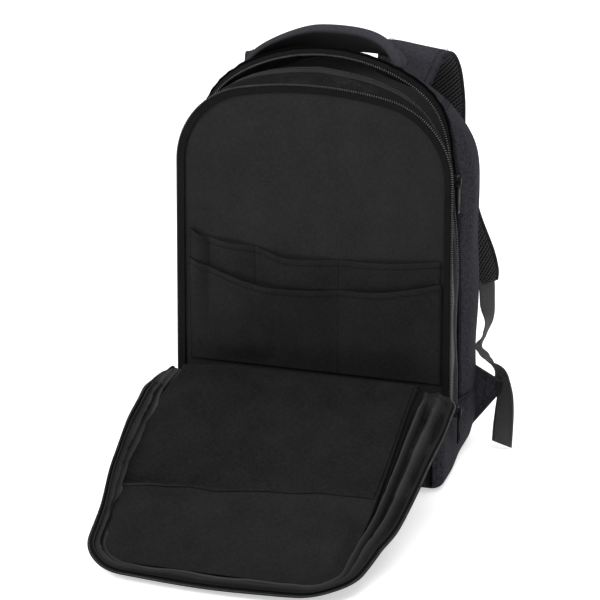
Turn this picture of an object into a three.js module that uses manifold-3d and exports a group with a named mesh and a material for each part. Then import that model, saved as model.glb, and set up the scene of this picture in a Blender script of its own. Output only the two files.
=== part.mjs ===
// A laptop backpack standing on its base. The front cover is unzipped and folded forward on to the floor, and
// the main compartment is unzipped over the top.
// Millimetres. +Z is up, the front faces -Y, and the origin is on the floor under the organizer panel.
import * as THREE from 'three';
import { mergeVertices } from 'three/addons/utils/BufferGeometryUtils.js';
import Module from 'manifold-3d';

const wasm = await Module();
wasm.setup();

// Clearance and cloth
const GAP = 0.3;
const OUTER_CLOTH = 3;
const GUSSET_CLOTH = 2;
const PANEL_CLOTH = 4;
const LINING = 1.5;
const POCKET_CLOTH = 1.2;

// Arched outlines of the body, seen from the front
const SEAM_HEIGHT = 67;
const ARCH_FOOT = SEAM_HEIGHT + GAP;
const FRONT_ARCH = { halfWidth: 141, foot: 143, corner: 83, spring: 305, top: 394, footHeight: ARCH_FOOT };
const REAR_ARCH = { halfWidth: 147.3, foot: 148.5, corner: 111, spring: 291, top: 414, footHeight: ARCH_FOOT };
const ARCH_STEPS = 40;

// Depths of the body, front to back, and how far the unzipped main zip stands open over the top
const FRONT_GUSSET_DEPTH = 15.5;
const ZIP_HALF_WIDTH = 8.3;
const REAR_GUSSET_FRONT = 32.8;
const REAR_EDGE_OPENED = 18;
const BACK_DEPTH = 105;
const POUCH_DEPTH = 48;
const OPEN_FROM_HEIGHT = 312;
const OPEN_FULL_HEIGHT = 392;

// Section of a zip half: out from the sewn edge, and half its thickness there
const ZIP_SECTION = [
  { out: 0, half: 0.6 },
  { out: 5.8, half: 0.6 },
  { out: 6, half: 1.3 },
  { out: ZIP_HALF_WIDTH, half: 1.3 },
];

// The front zip's half on the body: its depth, how far its teeth lie inside the arch, and its start above
// the seam
const BODY_ZIP = { y: -1.8, inside: 0.2, aboveSeam: 10 };

// Front gusset where the open zip lets it rise or slump: share of the arch from the apex, rise of its rear edge
const FRONT_RIDGE = [
  { share: 0, rise: 9 },
  { share: 0.12, rise: 6 },
  { share: 0.24, rise: -1 },
  { share: 0.34, rise: -5 },
  { share: 0.5, rise: -4.5 },
  { share: 0.7, rise: -2 },
  { share: 1, rise: 0 },
];

// Rear gusset from front to back: depth, how far it stands outside the rear arch, and how much it falls away
// on top
const REAR_SECTION = [
  { y: 62, out: 1, fall: 0 },
  { y: 86, out: 0, fall: 4 },
  { y: 98, out: -5, fall: 7 },
  { y: 104, out: -13, fall: 7 },
];
const REAR_TOP_TUCK = 1;

// Padded back panel from the inside out: depth, and how far it lies inside the rear arch, besides the fall
// on top
const BACK_TOP_FALL = 7;
const BACK_SECTION = [
  { y: 95, inset: 18 },
  { y: 97, inset: 15.6 },
  { y: 105, inset: 15.6 },
  { y: 109, inset: 20 },
  { y: 110.5, inset: 29 },
];

// Base and lower walls: height, and how far the wall lies inside the plan, up the outside and down the inside
const BOOT = { halfWidth: 147.5, frontCorner: 14, rearCorner: 24, cornerSteps: 6 };
const BOOT_SECTION = [
  { z: 0, inset: 9 },
  { z: 1.5, inset: 5 },
  { z: 5, inset: 1.8 },
  { z: 11, inset: 0 },
  { z: SEAM_HEIGHT, inset: 0 },
  { z: SEAM_HEIGHT, inset: OUTER_CLOTH },
  { z: 12, inset: OUTER_CLOTH },
  { z: 6.5, inset: 5 },
  { z: 3, inset: 9.5 },
];

// Organizer panel and its two rows of pockets
const ORGANIZER = { inset: 4, depth: 2.5, foot: 3.6, footCorner: 18 };
const STITCH_LINES = { upper: [-129, -108, -60, 26, 131], lower: [-130, 26, 132] };
const POCKET_FOOT = { upper: 100, lower: 96 };
const POCKET_GAPE = { upper: 9, lower: 14 };
const POCKET_STEP = 9;
const POCKET_LEVELS = [0, 0.35, 0.7, 1];
const UPPER_HEM = [
  { x: -129, z: 236 },
  { x: -108, z: 228 },
  { x: -62, z: 223 },
  { x: -23, z: 215 },
  { x: 26, z: 218 },
  { x: 80, z: 219 },
  { x: 131, z: 229 },
];
const LOWER_HEM = [
  { x: -130, z: 205 },
  { x: -95, z: 195 },
  { x: -37, z: 184 },
  { x: 7, z: 186 },
  { x: 26, z: 191 },
  { x: 72, z: 190 },
  { x: 132, z: 206 },
];

// Middle of the front panel in side view: up the pouch, over the fold, and down the opened cover to the floor
const FRONT_PROFILE = [
  { y: -46.2, z: 4 },
  { y: -46.2, z: 58 },
  { y: -43, z: 86 },
  { y: -41, z: 99 },
  { y: -48, z: 108 },
  { y: -60, z: 105 },
  { y: -120, z: 81.5 },
  { y: -180, z: 56 },
  { y: -240, z: 28 },
  { y: -276, z: 12.5 },
  { y: -303, z: 6 },
];

// Half width of the front panel along that profile, how far the cover has drifted sideways, and the rounding
// of its far corners
const FRONT_WIDTH = [
  { along: 0, half: 132.5, drift: 0 },
  { along: 70, half: 132.5, drift: 0 },
  { along: 106, half: 125, drift: -3 },
  { along: 170, half: 128, drift: -6 },
  { along: 226, half: 129.5, drift: -7.5 },
  { along: 276, half: 128, drift: -7 },
  { along: 326, half: 122, drift: -5.5 },
  { along: 376, half: 114, drift: -5 },
];
const FAR_CORNER = 30;
const FOLD_ALONG = 106;
const PANEL_STOPS = { pouch: 15, fold: 5, cover: 16, foldFrom: 60, foldTo: 130 };
const ACROSS = [-1, -0.5, 0, 0.5, 1];

// Wall round the opened cover, from the left zip end round to the right one: where the rim lies from the root
const FLAP_RIM = [
  { share: 0, out: 8, up: 38 },
  { share: 0.03, out: 9, up: 15 },
  { share: 0.048, out: 12, up: -4 },
  { share: 0.075, out: 10, up: 2 },
  { share: 0.1, out: 4, up: 13 },
  { share: 0.15, out: -1, up: 30 },
  { share: 0.24, out: -1, up: 31 },
  { share: 0.3, out: 2, up: 21 },
  { share: 0.345, out: 10, up: 13 },
  { share: 0.4, out: 22, up: 13 },
  { share: 0.5, out: 29, up: 13 },
  { share: 0.58, out: 29, up: 13 },
  { share: 0.625, out: 28, up: 12 },
  { share: 0.69, out: 34, up: 8 },
  { share: 0.73, out: 36, up: 4 },
  { share: 0.82, out: 37, up: 1 },
  { share: 0.9, out: 42, up: 0 },
  { share: 0.93, out: 42, up: -2 },
  { share: 0.952, out: 30, up: -2 },
  { share: 0.972, out: 12, up: 14 },
  { share: 1, out: 8, up: 38 },
];
const FLAP_WALL_FROM = 70;
const FLAP_WALL_GAP = 0.9;
const FLAP_ZIP_GAP = 1.0;
const FLAP_WALL_STEPS = 56;

// Lining and slip pocket of the opened cover
const LINER = { inset: 5, from: FOLD_ALONG - 8, shortOfEnd: 7 };
const FLAP_POCKET = { inset: 9, from: FOLD_ALONG + 3, to: FOLD_ALONG + 176, gape: 8 };

// Grab handle: an arch that stands on the top and leans back
const HANDLE = { halfSpan: 70, rise: 33, y: 64, z: 401.7, lean: 56, width: 25, thickness: 7, steps: 18 };

// Shoulder straps: middle of the strap from its root on the top to its lower end, its width, and how far its
// outer edge is banked down to follow the round of the top. The right strap stands up in a loop, and the left one
// has slumped.
const STRAP_THICKNESS = 11;
const STRAP_STEPS = 26;
const STRAP_PATHS = {
  right: [
    { x: 68, y: 97, z: 392.2, width: 58, bank: 24 },
    { x: 70, y: 107, z: 401.5, width: 64, bank: 13 },
    { x: 73, y: 119, z: 403.5, width: 70, bank: 5 },
    { x: 77, y: 131, z: 398, width: 72, bank: 3 },
    { x: 82, y: 140, z: 382, width: 72, bank: 0 },
    { x: 84, y: 144, z: 352, width: 71, bank: 0 },
    { x: 85, y: 146, z: 305, width: 66, bank: 0 },
    { x: 93, y: 147, z: 258, width: 62, bank: 0 },
    { x: 106, y: 147.5, z: 216, width: 60, bank: 0 },
    { x: 121.5, y: 147.5, z: 180, width: 58, bank: 0 },
    { x: 130, y: 147, z: 160, width: 52, bank: 0 },
    { x: 134, y: 147, z: 149, width: 42, bank: 0 },
  ],
  left: [
    { x: 68, y: 109, z: 384, width: 60, bank: 20 },
    { x: 70, y: 118, z: 380, width: 65, bank: 12 },
    { x: 73, y: 128, z: 369, width: 70, bank: 6 },
    { x: 77, y: 137, z: 350, width: 72, bank: 2 },
    { x: 81, y: 146, z: 328, width: 72, bank: 0 },
    { x: 83, y: 152, z: 305, width: 70, bank: 0 },
    { x: 86, y: 155, z: 275, width: 66, bank: 0 },
    { x: 94, y: 154, z: 245, width: 62, bank: 0 },
    { x: 106, y: 151, z: 212, width: 60, bank: 0 },
    { x: 121.5, y: 148.5, z: 180, width: 58, bank: 0 },
    { x: 130, y: 147, z: 160, width: 52, bank: 0 },
    { x: 134, y: 147, z: 149, width: 42, bank: 0 },
  ],
};

// Webbing from the strap's end past the tab's tip, hanging as a free tail: turn is the direction of its width
// in plan, and layers tells the hemmed end from the single webbing
const WEBBING = { width: 21, thickness: 1.6, steps: 36 };
const WEBBING_PATHS = {
  right: [
    { x: 137, y: 147, z: 149.5, turn: 0, layers: 1 },
    { x: 142, y: 146, z: 136, turn: 6, layers: 1 },
    { x: 146, y: 139, z: 120, turn: 35, layers: 1 },
    { x: 146, y: 129, z: 107, turn: 95, layers: 1 },
    { x: 151, y: 115, z: 97, turn: 150, layers: 1 },
    { x: 159, y: 98, z: 87, turn: 186, layers: 1 },
    { x: 166, y: 86, z: 76, turn: 195, layers: 1 },
    { x: 172, y: 83, z: 62, turn: 197, layers: 1 },
    { x: 177, y: 81, z: 40, turn: 197, layers: 2 },
    { x: 179, y: 78, z: 20, turn: 197, layers: 2 },
    { x: 179, y: 76, z: 3, turn: 197, layers: 2 },
  ],
  left: [
    { x: 137, y: 147, z: 149.5, turn: 0, layers: 1 },
    { x: 142, y: 146.5, z: 136, turn: 0, layers: 1 },
    { x: 149, y: 142, z: 118, turn: -6, layers: 1 },
    { x: 155, y: 133, z: 97, turn: -18, layers: 1 },
    { x: 160, y: 125, z: 79, turn: -26, layers: 1 },
    { x: 163, y: 119, z: 62, turn: -30, layers: 1 },
    { x: 164, y: 118, z: 40, turn: -30, layers: 2 },
    { x: 163, y: 117, z: 20, turn: -30, layers: 2 },
    { x: 162, y: 116, z: 3, turn: -30, layers: 2 },
  ],
};

// Tab in the lower side seam with the lock plate on its tip, drawn outward from the seam, and how far each tab
// is turned towards the back
const TAB = { x: 148.4, y: 89.5, thickness: 3, top: 81, bottom: 17, reach: 21, tipLow: 52, tipHigh: 66 };
const LOCK = { z: 60, length: 6, thickness: 4.6, height: 16 };
const TAB_TURN = { right: 0, left: 60 };

// Zip sliders and pulls: where the pull's hinge lies on the right side, and the parts' own sizes
const SLIDERS = [
  { name: 'main', x: 141.2, y: 24.1, z: 302 },
  { name: 'front', x: 152.8, y: -4, z: 70.5 },
];
const SLIDER = { width: 8.4, low: -5, high: 5.5, thickness: 3.6 };
const BAIL = { width: 2.8, reach: 3.6, post: 1.4, window: 1.25, thickness: 1.1, root: 0.5 };
const PULL = { width: 6.8, arm: 1.3, thickness: 1.7, eye: 8, length: 33 };
const PULL_SLOT = { width: 2.6, low: -31, high: -23 };
const CUT_PAST = 1;

// Finishes
const NAVY_CLOTH = { color: 0x25262d, roughness: 0.9, metalness: 0 };
const LINING_CLOTH = { color: 0x1c1c1d, roughness: 0.75, metalness: 0 };
const GUSSET_TWILL = { color: 0x2d2d30, roughness: 0.7, metalness: 0 };
const ZIP_TAPE = { color: 0x161617, roughness: 0.6, metalness: 0.1 };
const MESH_PAD = { color: 0x1b1b1c, roughness: 0.95, metalness: 0 };
const WEBBING_WEAVE = { color: 0x262627, roughness: 0.7, metalness: 0 };
const PLASTIC = { color: 0x17171a, roughness: 0.45, metalness: 0 };
const ZIP_METAL = { color: 0x4a4a4e, roughness: 0.35, metalness: 0.9 };

const vector = (x, y, z) => new THREE.Vector3(x, y, z);
const RIGHTWARD = vector(1, 0, 0);
const backpack = new THREE.Group();

function addPiece(name, geometry, finish) {
  geometry.computeVertexNormals();
  const piece = new THREE.Mesh(geometry, new THREE.MeshStandardMaterial(finish));
  piece.name = name;
  backpack.add(piece);
}

// A smooth reading of one column of a table between its rows, which never swings past them
function columnCurve(rows, key, name) {
  const steps = rows.slice(1).map((row, i) => (row[name] - rows[i][name]) / (row[key] - rows[i][key]));
  const slopes = rows.map((_, i) => {
    const before = steps[Math.max(i - 1, 0)];
    const after = steps[Math.min(i, steps.length - 1)];
    return before * after > 0 ? 2 * before * after / (before + after) : 0;
  });
  return (at) => {
    const next = rows.findIndex((row) => row[key] >= at);
    if (next === 0) return rows[0][name];
    if (next < 0) return rows[rows.length - 1][name];
    const low = rows[next - 1];
    const high = rows[next];
    const width = high[key] - low[key];
    const share = (at - low[key]) / width;
    const eased = share * share * (3 - 2 * share);
    const bendLow = share * (1 - share) ** 2 * slopes[next - 1];
    const bendHigh = share * share * (share - 1) * slopes[next];
    return THREE.MathUtils.lerp(low[name], high[name], eased) + width * (bendLow + bendHigh);
  };
}

// A closed solid through rings of equally many points. A strip cap joins the two faces of a thin wall, and a
// fan cap meets in the middle of a round section.
function loft(rings, cap) {
  const count = rings[0].length;
  const points = rings.flat();
  const faces = [];
  for (let ring = 0; ring + 1 < rings.length; ring += 1) {
    for (let i = 0; i < count; i += 1) {
      const a = ring * count + i;
      const b = ring * count + (i + 1) % count;
      faces.push([a, b, b + count], [a, b + count, a + count]);
    }
  }
  for (const start of [0, (rings.length - 1) * count]) {
    const capFaces = [];
    if (cap === 'strip') {
      for (let i = 0; i + 1 < count / 2; i += 1) {
        const back = count - 1 - i;
        capFaces.push([i, i + 1, back - 1], [i, back - 1, back]);
      }
    } else {
      const ring = points.slice(start, start + count);
      const middle = ring.reduce((sum, point) => sum.add(point), vector(0, 0, 0)).divideScalar(count);
      points.push(middle);
      for (let i = 0; i < count; i += 1) capFaces.push([i, (i + 1) % count, points.length - 1 - start]);
    }
    for (const [a, b, c] of capFaces) {
      faces.push(start === 0 ? [c, b, a] : [a + start, b + start, c + start]);
    }
  }
  const volume = faces.reduce((sum, [a, b, c]) => sum + points[a].dot(points[b].clone().cross(points[c])), 0);
  const outward = volume > 0 ? faces : faces.map(([a, b, c]) => [c, b, a]);
  const geometry = new THREE.BufferGeometry().setFromPoints(points);
  geometry.setIndex(outward.flat());
  return geometry;
}

// Both faces of a thin wall in a flat section: along the run, then back at a distance to its right
function wallSection(run, thickness) {
  const back = run.map((point, i) => {
    const before = run[Math.max(i - 1, 0)];
    const after = run[Math.min(i + 1, run.length - 1)];
    const length = Math.hypot(after[0] - before[0], after[1] - before[1]);
    const right = [(after[1] - before[1]) / length, -(after[0] - before[0]) / length];
    return [point[0] + right[0] * thickness, point[1] + right[1] * thickness];
  });
  return [...run, ...back.reverse()];
}

// Section of a zip half that starts at a point and runs in a direction
function zipSection(start, direction) {
  const length = Math.hypot(direction[0], direction[1]);
  const [du, dv] = [direction[0] / length, direction[1] / length];
  const face = (side) => ZIP_SECTION.map(({ out, half }) => [
    start[0] + du * out - dv * half * side,
    start[1] + dv * out + du * half * side,
  ]);
  return [...face(1), ...face(-1).reverse()];
}

function toSolid(geometry) {
  const plain = new THREE.BufferGeometry();
  plain.setAttribute('position', geometry.getAttribute('position'));
  plain.setIndex(geometry.index);
  const merged = mergeVertices(plain);
  const vertProperties = new Float32Array(merged.getAttribute('position').array);
  const triVerts = new Uint32Array(merged.index.array);
  return new wasm.Manifold(new wasm.Mesh({ numProp: 3, vertProperties, triVerts }));
}

function toGeometry(solid) {
  const { vertProperties, triVerts } = solid.getMesh();
  const geometry = new THREE.BufferGeometry();
  geometry.setAttribute('position', new THREE.BufferAttribute(new Float32Array(vertProperties), 3));
  geometry.setIndex(Array.from(triVerts));
  return geometry;
}

function boxSolid(low, high) {
  const size = high.map((value, i) => value - low[i]);
  const box = new THREE.BoxGeometry(...size);
  box.translate(...low.map((value, i) => value + size[i] / 2));
  return toSolid(box);
}

// Arch outlines and the bands that follow them

// Straight sides, round corners and a flatter crown that runs on from them without a kink
function archPath({ halfWidth, foot, corner, spring, top, footHeight }) {
  const cornerX = halfWidth - corner;
  const drop = spring - top;
  const crown = (corner ** 2 - cornerX ** 2 - drop ** 2) / (2 * (drop + corner));
  const turn = Math.atan2(drop + crown, cornerX);
  const path = new THREE.Path();
  path.moveTo(-foot, footHeight);
  path.lineTo(-halfWidth, spring);
  path.absarc(-cornerX, spring, corner, Math.PI, Math.PI - turn, true);
  path.absarc(0, top - crown, crown, Math.PI - turn, turn, true);
  path.absarc(cornerX, spring, corner, turn, 0, true);
  path.lineTo(foot, footHeight);
  return path;
}

function archStations(arch, steps) {
  const path = archPath(arch);
  return Array.from({ length: steps + 1 }, (_, i) => {
    const place = path.getPointAt(i / steps);
    const tangent = path.getTangentAt(i / steps);
    const open = THREE.MathUtils.smoothstep(place.y, OPEN_FROM_HEIGHT, OPEN_FULL_HEIGHT);
    return { x: place.x, z: place.y, nx: -tangent.y, nz: tangent.x, share: Math.abs(2 * i / steps - 1), open };
  });
}

// A point at a depth and a distance outside the arch
const onStation = (station, [y, out]) => (
  vector(station.x + station.nx * out, y, station.z + station.nz * out)
);

function archBand(arch, sectionAt) {
  const rings = archStations(arch, ARCH_STEPS).map((station) => (
    sectionAt(station).map((point) => onStation(station, point))
  ));
  return loft(rings, 'strip');
}

const ridgeRise = columnCurve(FRONT_RIDGE, 'share', 'rise');

// Outer face of the front gusset, from the front zip back to the main zip
function frontGussetRun({ share }) {
  const rise = ridgeRise(share);
  return [[GAP, 0], [FRONT_GUSSET_DEPTH * 0.5, rise * 0.6], [FRONT_GUSSET_DEPTH, rise]];
}

// Outer face of the rear gusset, from the main zip to the edge of the back. Where the zip is shut its front edge
// is drawn in to the front half.
function rearGussetRun({ open, share }) {
  const drawnIn = REAR_ARCH.halfWidth - FRONT_ARCH.halfWidth - ridgeRise(share);
  const tuck = THREE.MathUtils.lerp(drawnIn, REAR_TOP_TUCK, open);
  const edge = [REAR_GUSSET_FRONT + REAR_EDGE_OPENED * open, -tuck];
  return [edge, ...REAR_SECTION.map(({ y, out, fall }) => [y, out - fall * open])];
}

function mainZipFront(station) {
  const [before, edge] = frontGussetRun(station).slice(1);
  const length = Math.hypot(edge[0] - before[0], edge[1] - before[1]);
  const [dy, dn] = [(edge[0] - before[0]) / length, (edge[1] - before[1]) / length];
  const middle = GUSSET_CLOTH / 2;
  return zipSection([edge[0] + dy * GAP + dn * middle, edge[1] + dn * GAP - dy * middle], [dy, dn]);
}

// The rear half lies in line with the wall where the zip is shut, and hangs forward and down where it is open
function mainZipRear(station) {
  const [edge] = rearGussetRun(station);
  const hang = [THREE.MathUtils.lerp(-1, -0.3, station.open), -station.open];
  const tapeHalf = ZIP_SECTION[0].half * station.open;
  return zipSection([edge[0] - GAP - tapeHalf, edge[1] - OUTER_CLOTH / 3], hang);
}

// Body

function rearGusset() {
  return archBand(REAR_ARCH, (station) => wallSection(rearGussetRun(station), OUTER_CLOTH));
}

function frontGusset() {
  return archBand(FRONT_ARCH, (station) => wallSection(frontGussetRun(station), GUSSET_CLOTH));
}

function bodyZip() {
  const arch = { ...FRONT_ARCH, footHeight: SEAM_HEIGHT + BODY_ZIP.aboveSeam };
  return archBand(arch, () => zipSection([BODY_ZIP.y, -ZIP_HALF_WIDTH - BODY_ZIP.inside], [0, 1]));
}

function backPanel() {
  const stations = archStations(REAR_ARCH, ARCH_STEPS);
  const rings = BACK_SECTION.map(({ y, inset }) => stations.map((station) => {
    const place = onStation(station, [y, -inset - BACK_TOP_FALL * station.open]);
    place.z = Math.max(place.z, SEAM_HEIGHT + GAP);
    return place;
  }));
  return loft(rings, 'fan');
}

// Plan of the base at a distance inside its outline, the same number of points each time
function bootRing({ z, inset }) {
  const { halfWidth, frontCorner, rearCorner, cornerSteps } = BOOT;
  const corners = [
    { x: 1, y: BACK_DEPTH, sign: 1, radius: rearCorner, from: 0 },
    { x: -1, y: BACK_DEPTH, sign: 1, radius: rearCorner, from: 90 },
    { x: -1, y: -POUCH_DEPTH, sign: -1, radius: frontCorner, from: 180 },
    { x: 1, y: -POUCH_DEPTH, sign: -1, radius: frontCorner, from: 270 },
  ];
  return corners.flatMap(({ x, y, sign, radius, from }) => (
    Array.from({ length: cornerSteps + 1 }, (_, i) => {
      const angle = THREE.MathUtils.degToRad(from + 90 * i / cornerSteps);
      const reach = radius - inset;
      const place = vector(x * (halfWidth - radius), y - sign * radius, z);
      return place.add(vector(Math.cos(angle) * reach, Math.sin(angle) * reach, 0));
    })
  ));
}

// The lower walls stop short of the front panel, which closes the pouch
function boot() {
  const tray = toSolid(loft(BOOT_SECTION.map(bootRing), 'fan'));
  const frontHalf = FRONT_WIDTH[0].half + GAP;
  const inside = FRONT_PROFILE[0].y + PANEL_CLOTH / 2 + GAP;
  const floor = FRONT_PROFILE[0].z - GAP;
  const low = [-frontHalf, -POUCH_DEPTH - CUT_PAST, floor];
  const frontGap = boxSolid(low, [frontHalf, inside, SEAM_HEIGHT + CUT_PAST]);
  return toGeometry(tray.subtract(frontGap));
}

function organizerPanel() {
  const { inset, depth, foot, footCorner } = ORGANIZER;
  const arch = {
    ...FRONT_ARCH,
    halfWidth: FRONT_ARCH.halfWidth - inset,
    foot: FRONT_ARCH.foot - inset,
    corner: FRONT_ARCH.corner - inset,
    top: FRONT_ARCH.top - inset,
    footHeight: foot + footCorner,
  };
  const outline = archPath(arch).getSpacedPoints(ARCH_STEPS);
  const shape = new THREE.Shape(outline);
  const cornerX = arch.foot - footCorner;
  shape.absarc(cornerX, foot + footCorner, footCorner, 0, -Math.PI / 2, true);
  shape.absarc(-cornerX, foot + footCorner, footCorner, -Math.PI / 2, -Math.PI, true);
  const plate = new THREE.ExtrudeGeometry(shape, { depth, bevelEnabled: false, curveSegments: 6 });
  plate.rotateX(Math.PI / 2);
  plate.translate(0, depth, 0);
  return toGeometry(toSolid(mergePositions(plate)));
}

// Keeps only the corner positions of a geometry, shared between its faces
function mergePositions(geometry) {
  const plain = new THREE.BufferGeometry();
  plain.setAttribute('position', geometry.getAttribute('position'));
  return mergeVertices(plain);
}

// Pockets of the organizer

const upperHem = columnCurve(UPPER_HEM, 'x', 'z');
const lowerHem = columnCurve(LOWER_HEM, 'x', 'z');

// How far a pocket stands open at a place: nothing at its stitches and foot, most in the middle of its hem
function pocketGape(row, x, share) {
  const lines = STITCH_LINES[row];
  const right = lines.findIndex((line) => line >= x);
  if (right < 1) return 0;
  const across = (x - lines[right - 1]) / (lines[right] - lines[right - 1]);
  return POCKET_GAPE[row] * Math.sin(Math.PI * across) * share ** 1.5;
}

const upperShare = (x, z) => (z - POCKET_FOOT.upper) / (upperHem(x) - POCKET_FOOT.upper);

function upperDepth(x, z) {
  const share = THREE.MathUtils.clamp(upperShare(x, z), 0, 1);
  return GAP + pocketGape('upper', x, share);
}

function lowerDepth(x, z) {
  const share = (z - POCKET_FOOT.lower) / (lowerHem(x) - POCKET_FOOT.lower);
  return upperDepth(x, z) + POCKET_CLOTH + GAP + pocketGape('lower', x, share);
}

// A strip of cloth stitched to the organizer, worked out from left to right
function pocketStrip(row, hem, depthAt) {
  const lines = STITCH_LINES[row];
  const stops = [];
  for (let i = 1; i < lines.length; i += 1) {
    const steps = Math.max(4, Math.round((lines[i] - lines[i - 1]) / POCKET_STEP));
    for (let k = 0; k < steps; k += 1) stops.push(lines[i - 1] + (lines[i] - lines[i - 1]) * k / steps);
  }
  stops.push(lines[lines.length - 1]);
  const foot = POCKET_FOOT[row];
  const rings = stops.map((x) => {
    const levels = POCKET_LEVELS.map((share) => foot + (hem(x) - foot) * share);
    const inner = levels.map((z) => vector(x, -depthAt(x, z), z));
    const outer = levels.map((z) => vector(x, -depthAt(x, z) - POCKET_CLOTH, z));
    return [...inner, ...outer.reverse()];
  });
  return loft(rings, 'strip');
}

// Front panel and the opened cover

const profilePoints = FRONT_PROFILE.map(({ y, z }) => vector(0, y, z));
const profileCurve = new THREE.CatmullRomCurve3(profilePoints, false, 'centripetal');
const profileLength = profileCurve.getLength();
const panelHalf = columnCurve(FRONT_WIDTH, 'along', 'half');
const panelDrift = columnCurve(FRONT_WIDTH, 'along', 'drift');

// Place, direction and inward normal of the front panel at a length along its profile
function profileFrame(along) {
  const share = THREE.MathUtils.clamp(along / profileLength, 0, 1);
  const place = profileCurve.getPointAt(share);
  const tangent = profileCurve.getTangentAt(share);
  return { place: place.setX(panelDrift(along)), tangent, normal: vector(0, tangent.z, -tangent.y) };
}

function onPanel(x, along, lift) {
  const { place, normal } = profileFrame(along);
  return place.addScaledVector(RIGHTWARD, x).addScaledVector(normal, lift);
}

// Half width of the cover with its far corners rounded off
function coverHalf(along) {
  const past = along - (profileLength - FAR_CORNER);
  if (past <= 0) return panelHalf(along);
  const cut = FAR_CORNER - Math.sqrt(Math.max(FAR_CORNER ** 2 - past ** 2, 0));
  return panelHalf(along) - cut;
}

// Lengths along the panel at which every layer has a section: closer together at the fold and the far corners
function allPanelStops() {
  const { pouch, fold, cover, foldFrom, foldTo } = PANEL_STOPS;
  const cornerFrom = profileLength - FAR_CORNER;
  const run = (from, to, step) => {
    const steps = Math.round((to - from) / step);
    return Array.from({ length: steps }, (_, i) => from + (to - from) * i / steps);
  };
  const round = [0, 25, 48, 66, 80, 90].map((angle) => (
    cornerFrom + FAR_CORNER * Math.sin(THREE.MathUtils.degToRad(angle))
  ));
  const pouchStops = run(0, foldFrom, pouch);
  const foldStops = run(foldFrom, foldTo, fold);
  return [...pouchStops, ...foldStops, ...run(foldTo, cornerFrom, cover), ...round];
}

const panelStops = (from, to) => allPanelStops().filter((along) => along >= from && along <= to + 0.01);

function panelLayer({ from, to, inset, low, high }) {
  const rings = panelStops(from, to).map((along) => {
    const half = coverHalf(along) - inset;
    const bottom = ACROSS.map((share) => onPanel(half * share, along, low));
    const top = ACROSS.map((share) => onPanel(half * share, along, high));
    return [...bottom, ...top.reverse()];
  });
  return loft(rings, 'strip');
}

const HALF_PANEL = PANEL_CLOTH / 2;

function frontPanel() {
  return panelLayer({ from: 0, to: profileLength, inset: 0, low: -HALF_PANEL, high: HALF_PANEL });
}

function flapLiner() {
  const low = HALF_PANEL + GAP;
  const to = profileLength - LINER.shortOfEnd;
  return panelLayer({ from: LINER.from, to, inset: LINER.inset, low, high: low + LINING });
}

// The slip pocket lies on the lining and stands open at its hem, across the middle of the cover
function flapPocket() {
  const { inset, from, to, gape } = FLAP_POCKET;
  const base = HALF_PANEL + GAP + LINING + GAP;
  const shares = [-1, -0.8, -0.4, 0, 0.4, 0.8, 1];
  const stops = panelStops(from, to);
  const rings = stops.map((along, i) => {
    const half = coverHalf(along) - inset;
    const lift = (share) => base + gape * (1 - share ** 4) * (i / (stops.length - 1)) ** 2;
    const lower = shares.map((share) => onPanel(half * share, along, lift(share)));
    const upper = shares.map((share) => onPanel(half * share, along, lift(share) + POCKET_CLOTH));
    return [...lower, ...upper.reverse()];
  });
  return loft(rings, 'strip');
}

const rimOut = columnCurve(FLAP_RIM, 'share', 'out');
const rimUp = columnCurve(FLAP_RIM, 'share', 'up');

// Stations round the edge of the cover, each with its root on the panel's edge and the way out from it
function flapStations() {
  const side = panelStops(FLAP_WALL_FROM, profileLength);
  const left = side.map((along) => new THREE.Vector2(-coverHalf(along), along));
  const right = side.map((along) => new THREE.Vector2(coverHalf(along), along)).reverse();
  const edge = new THREE.Path().setFromPoints([...left, ...right]);
  return Array.from({ length: FLAP_WALL_STEPS + 1 }, (_, i) => {
    const share = i / FLAP_WALL_STEPS;
    const place = edge.getPointAt(share);
    const before = edge.getPointAt(Math.max(share - 0.01, 0));
    const after = edge.getPointAt(Math.min(share + 0.01, 1));
    const way = after.sub(before).normalize();
    const { tangent, normal } = profileFrame(place.y);
    const outward = vector(-way.y, 0, 0).addScaledVector(tangent, way.x);
    const root = onPanel(place.x, place.y, -HALF_PANEL).addScaledVector(outward, FLAP_WALL_GAP);
    return { root, outward, normal, out: rimOut(share), up: rimUp(share) };
  });
}

const onRoot = ({ root, outward, normal }, [out, up]) => (
  root.clone().addScaledVector(outward, out).addScaledVector(normal, up)
);

function flapBand(sectionAt) {
  const rings = flapStations().map((station) => sectionAt(station).map((point) => onRoot(station, point)));
  return loft(rings, 'strip');
}

// Share of the way from root to rim that is cloth, before the zip half starts
function clothShare({ out, up }) {
  const length = Math.hypot(out, up);
  return (length - ZIP_HALF_WIDTH - FLAP_ZIP_GAP) / length;
}

function flapGusset() {
  return flapBand((station) => {
    const reach = clothShare(station);
    const run = [0, 0.5, 1].map((share) => [station.out * reach * share, station.up * reach * share]);
    return wallSection(run, GUSSET_CLOTH);
  });
}

function flapZip() {
  return flapBand((station) => {
    const { out, up } = station;
    const length = Math.hypot(out, up);
    const reach = clothShare(station) + FLAP_ZIP_GAP / length;
    const down = [up / length * GUSSET_CLOTH / 2, -out / length * GUSSET_CLOTH / 2];
    return zipSection([out * reach + down[0], up * reach + down[1]], [out, up]);
  });
}

// Handle, straps and webbing

// Eight corners of a padded strip's section
function paddedRing(centre, across, depth, width, thickness) {
  const bevel = thickness * 0.3;
  const corners = [
    [width / 2, thickness / 2 - bevel],
    [width / 2 - bevel, thickness / 2],
    [-width / 2 + bevel, thickness / 2],
    [-width / 2, thickness / 2 - bevel],
    [-width / 2, -thickness / 2 + bevel],
    [-width / 2 + bevel, -thickness / 2],
    [width / 2 - bevel, -thickness / 2],
    [width / 2, -thickness / 2 + bevel],
  ];
  return corners.map(([u, v]) => centre.clone().addScaledVector(across, u).addScaledVector(depth, v));
}

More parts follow.
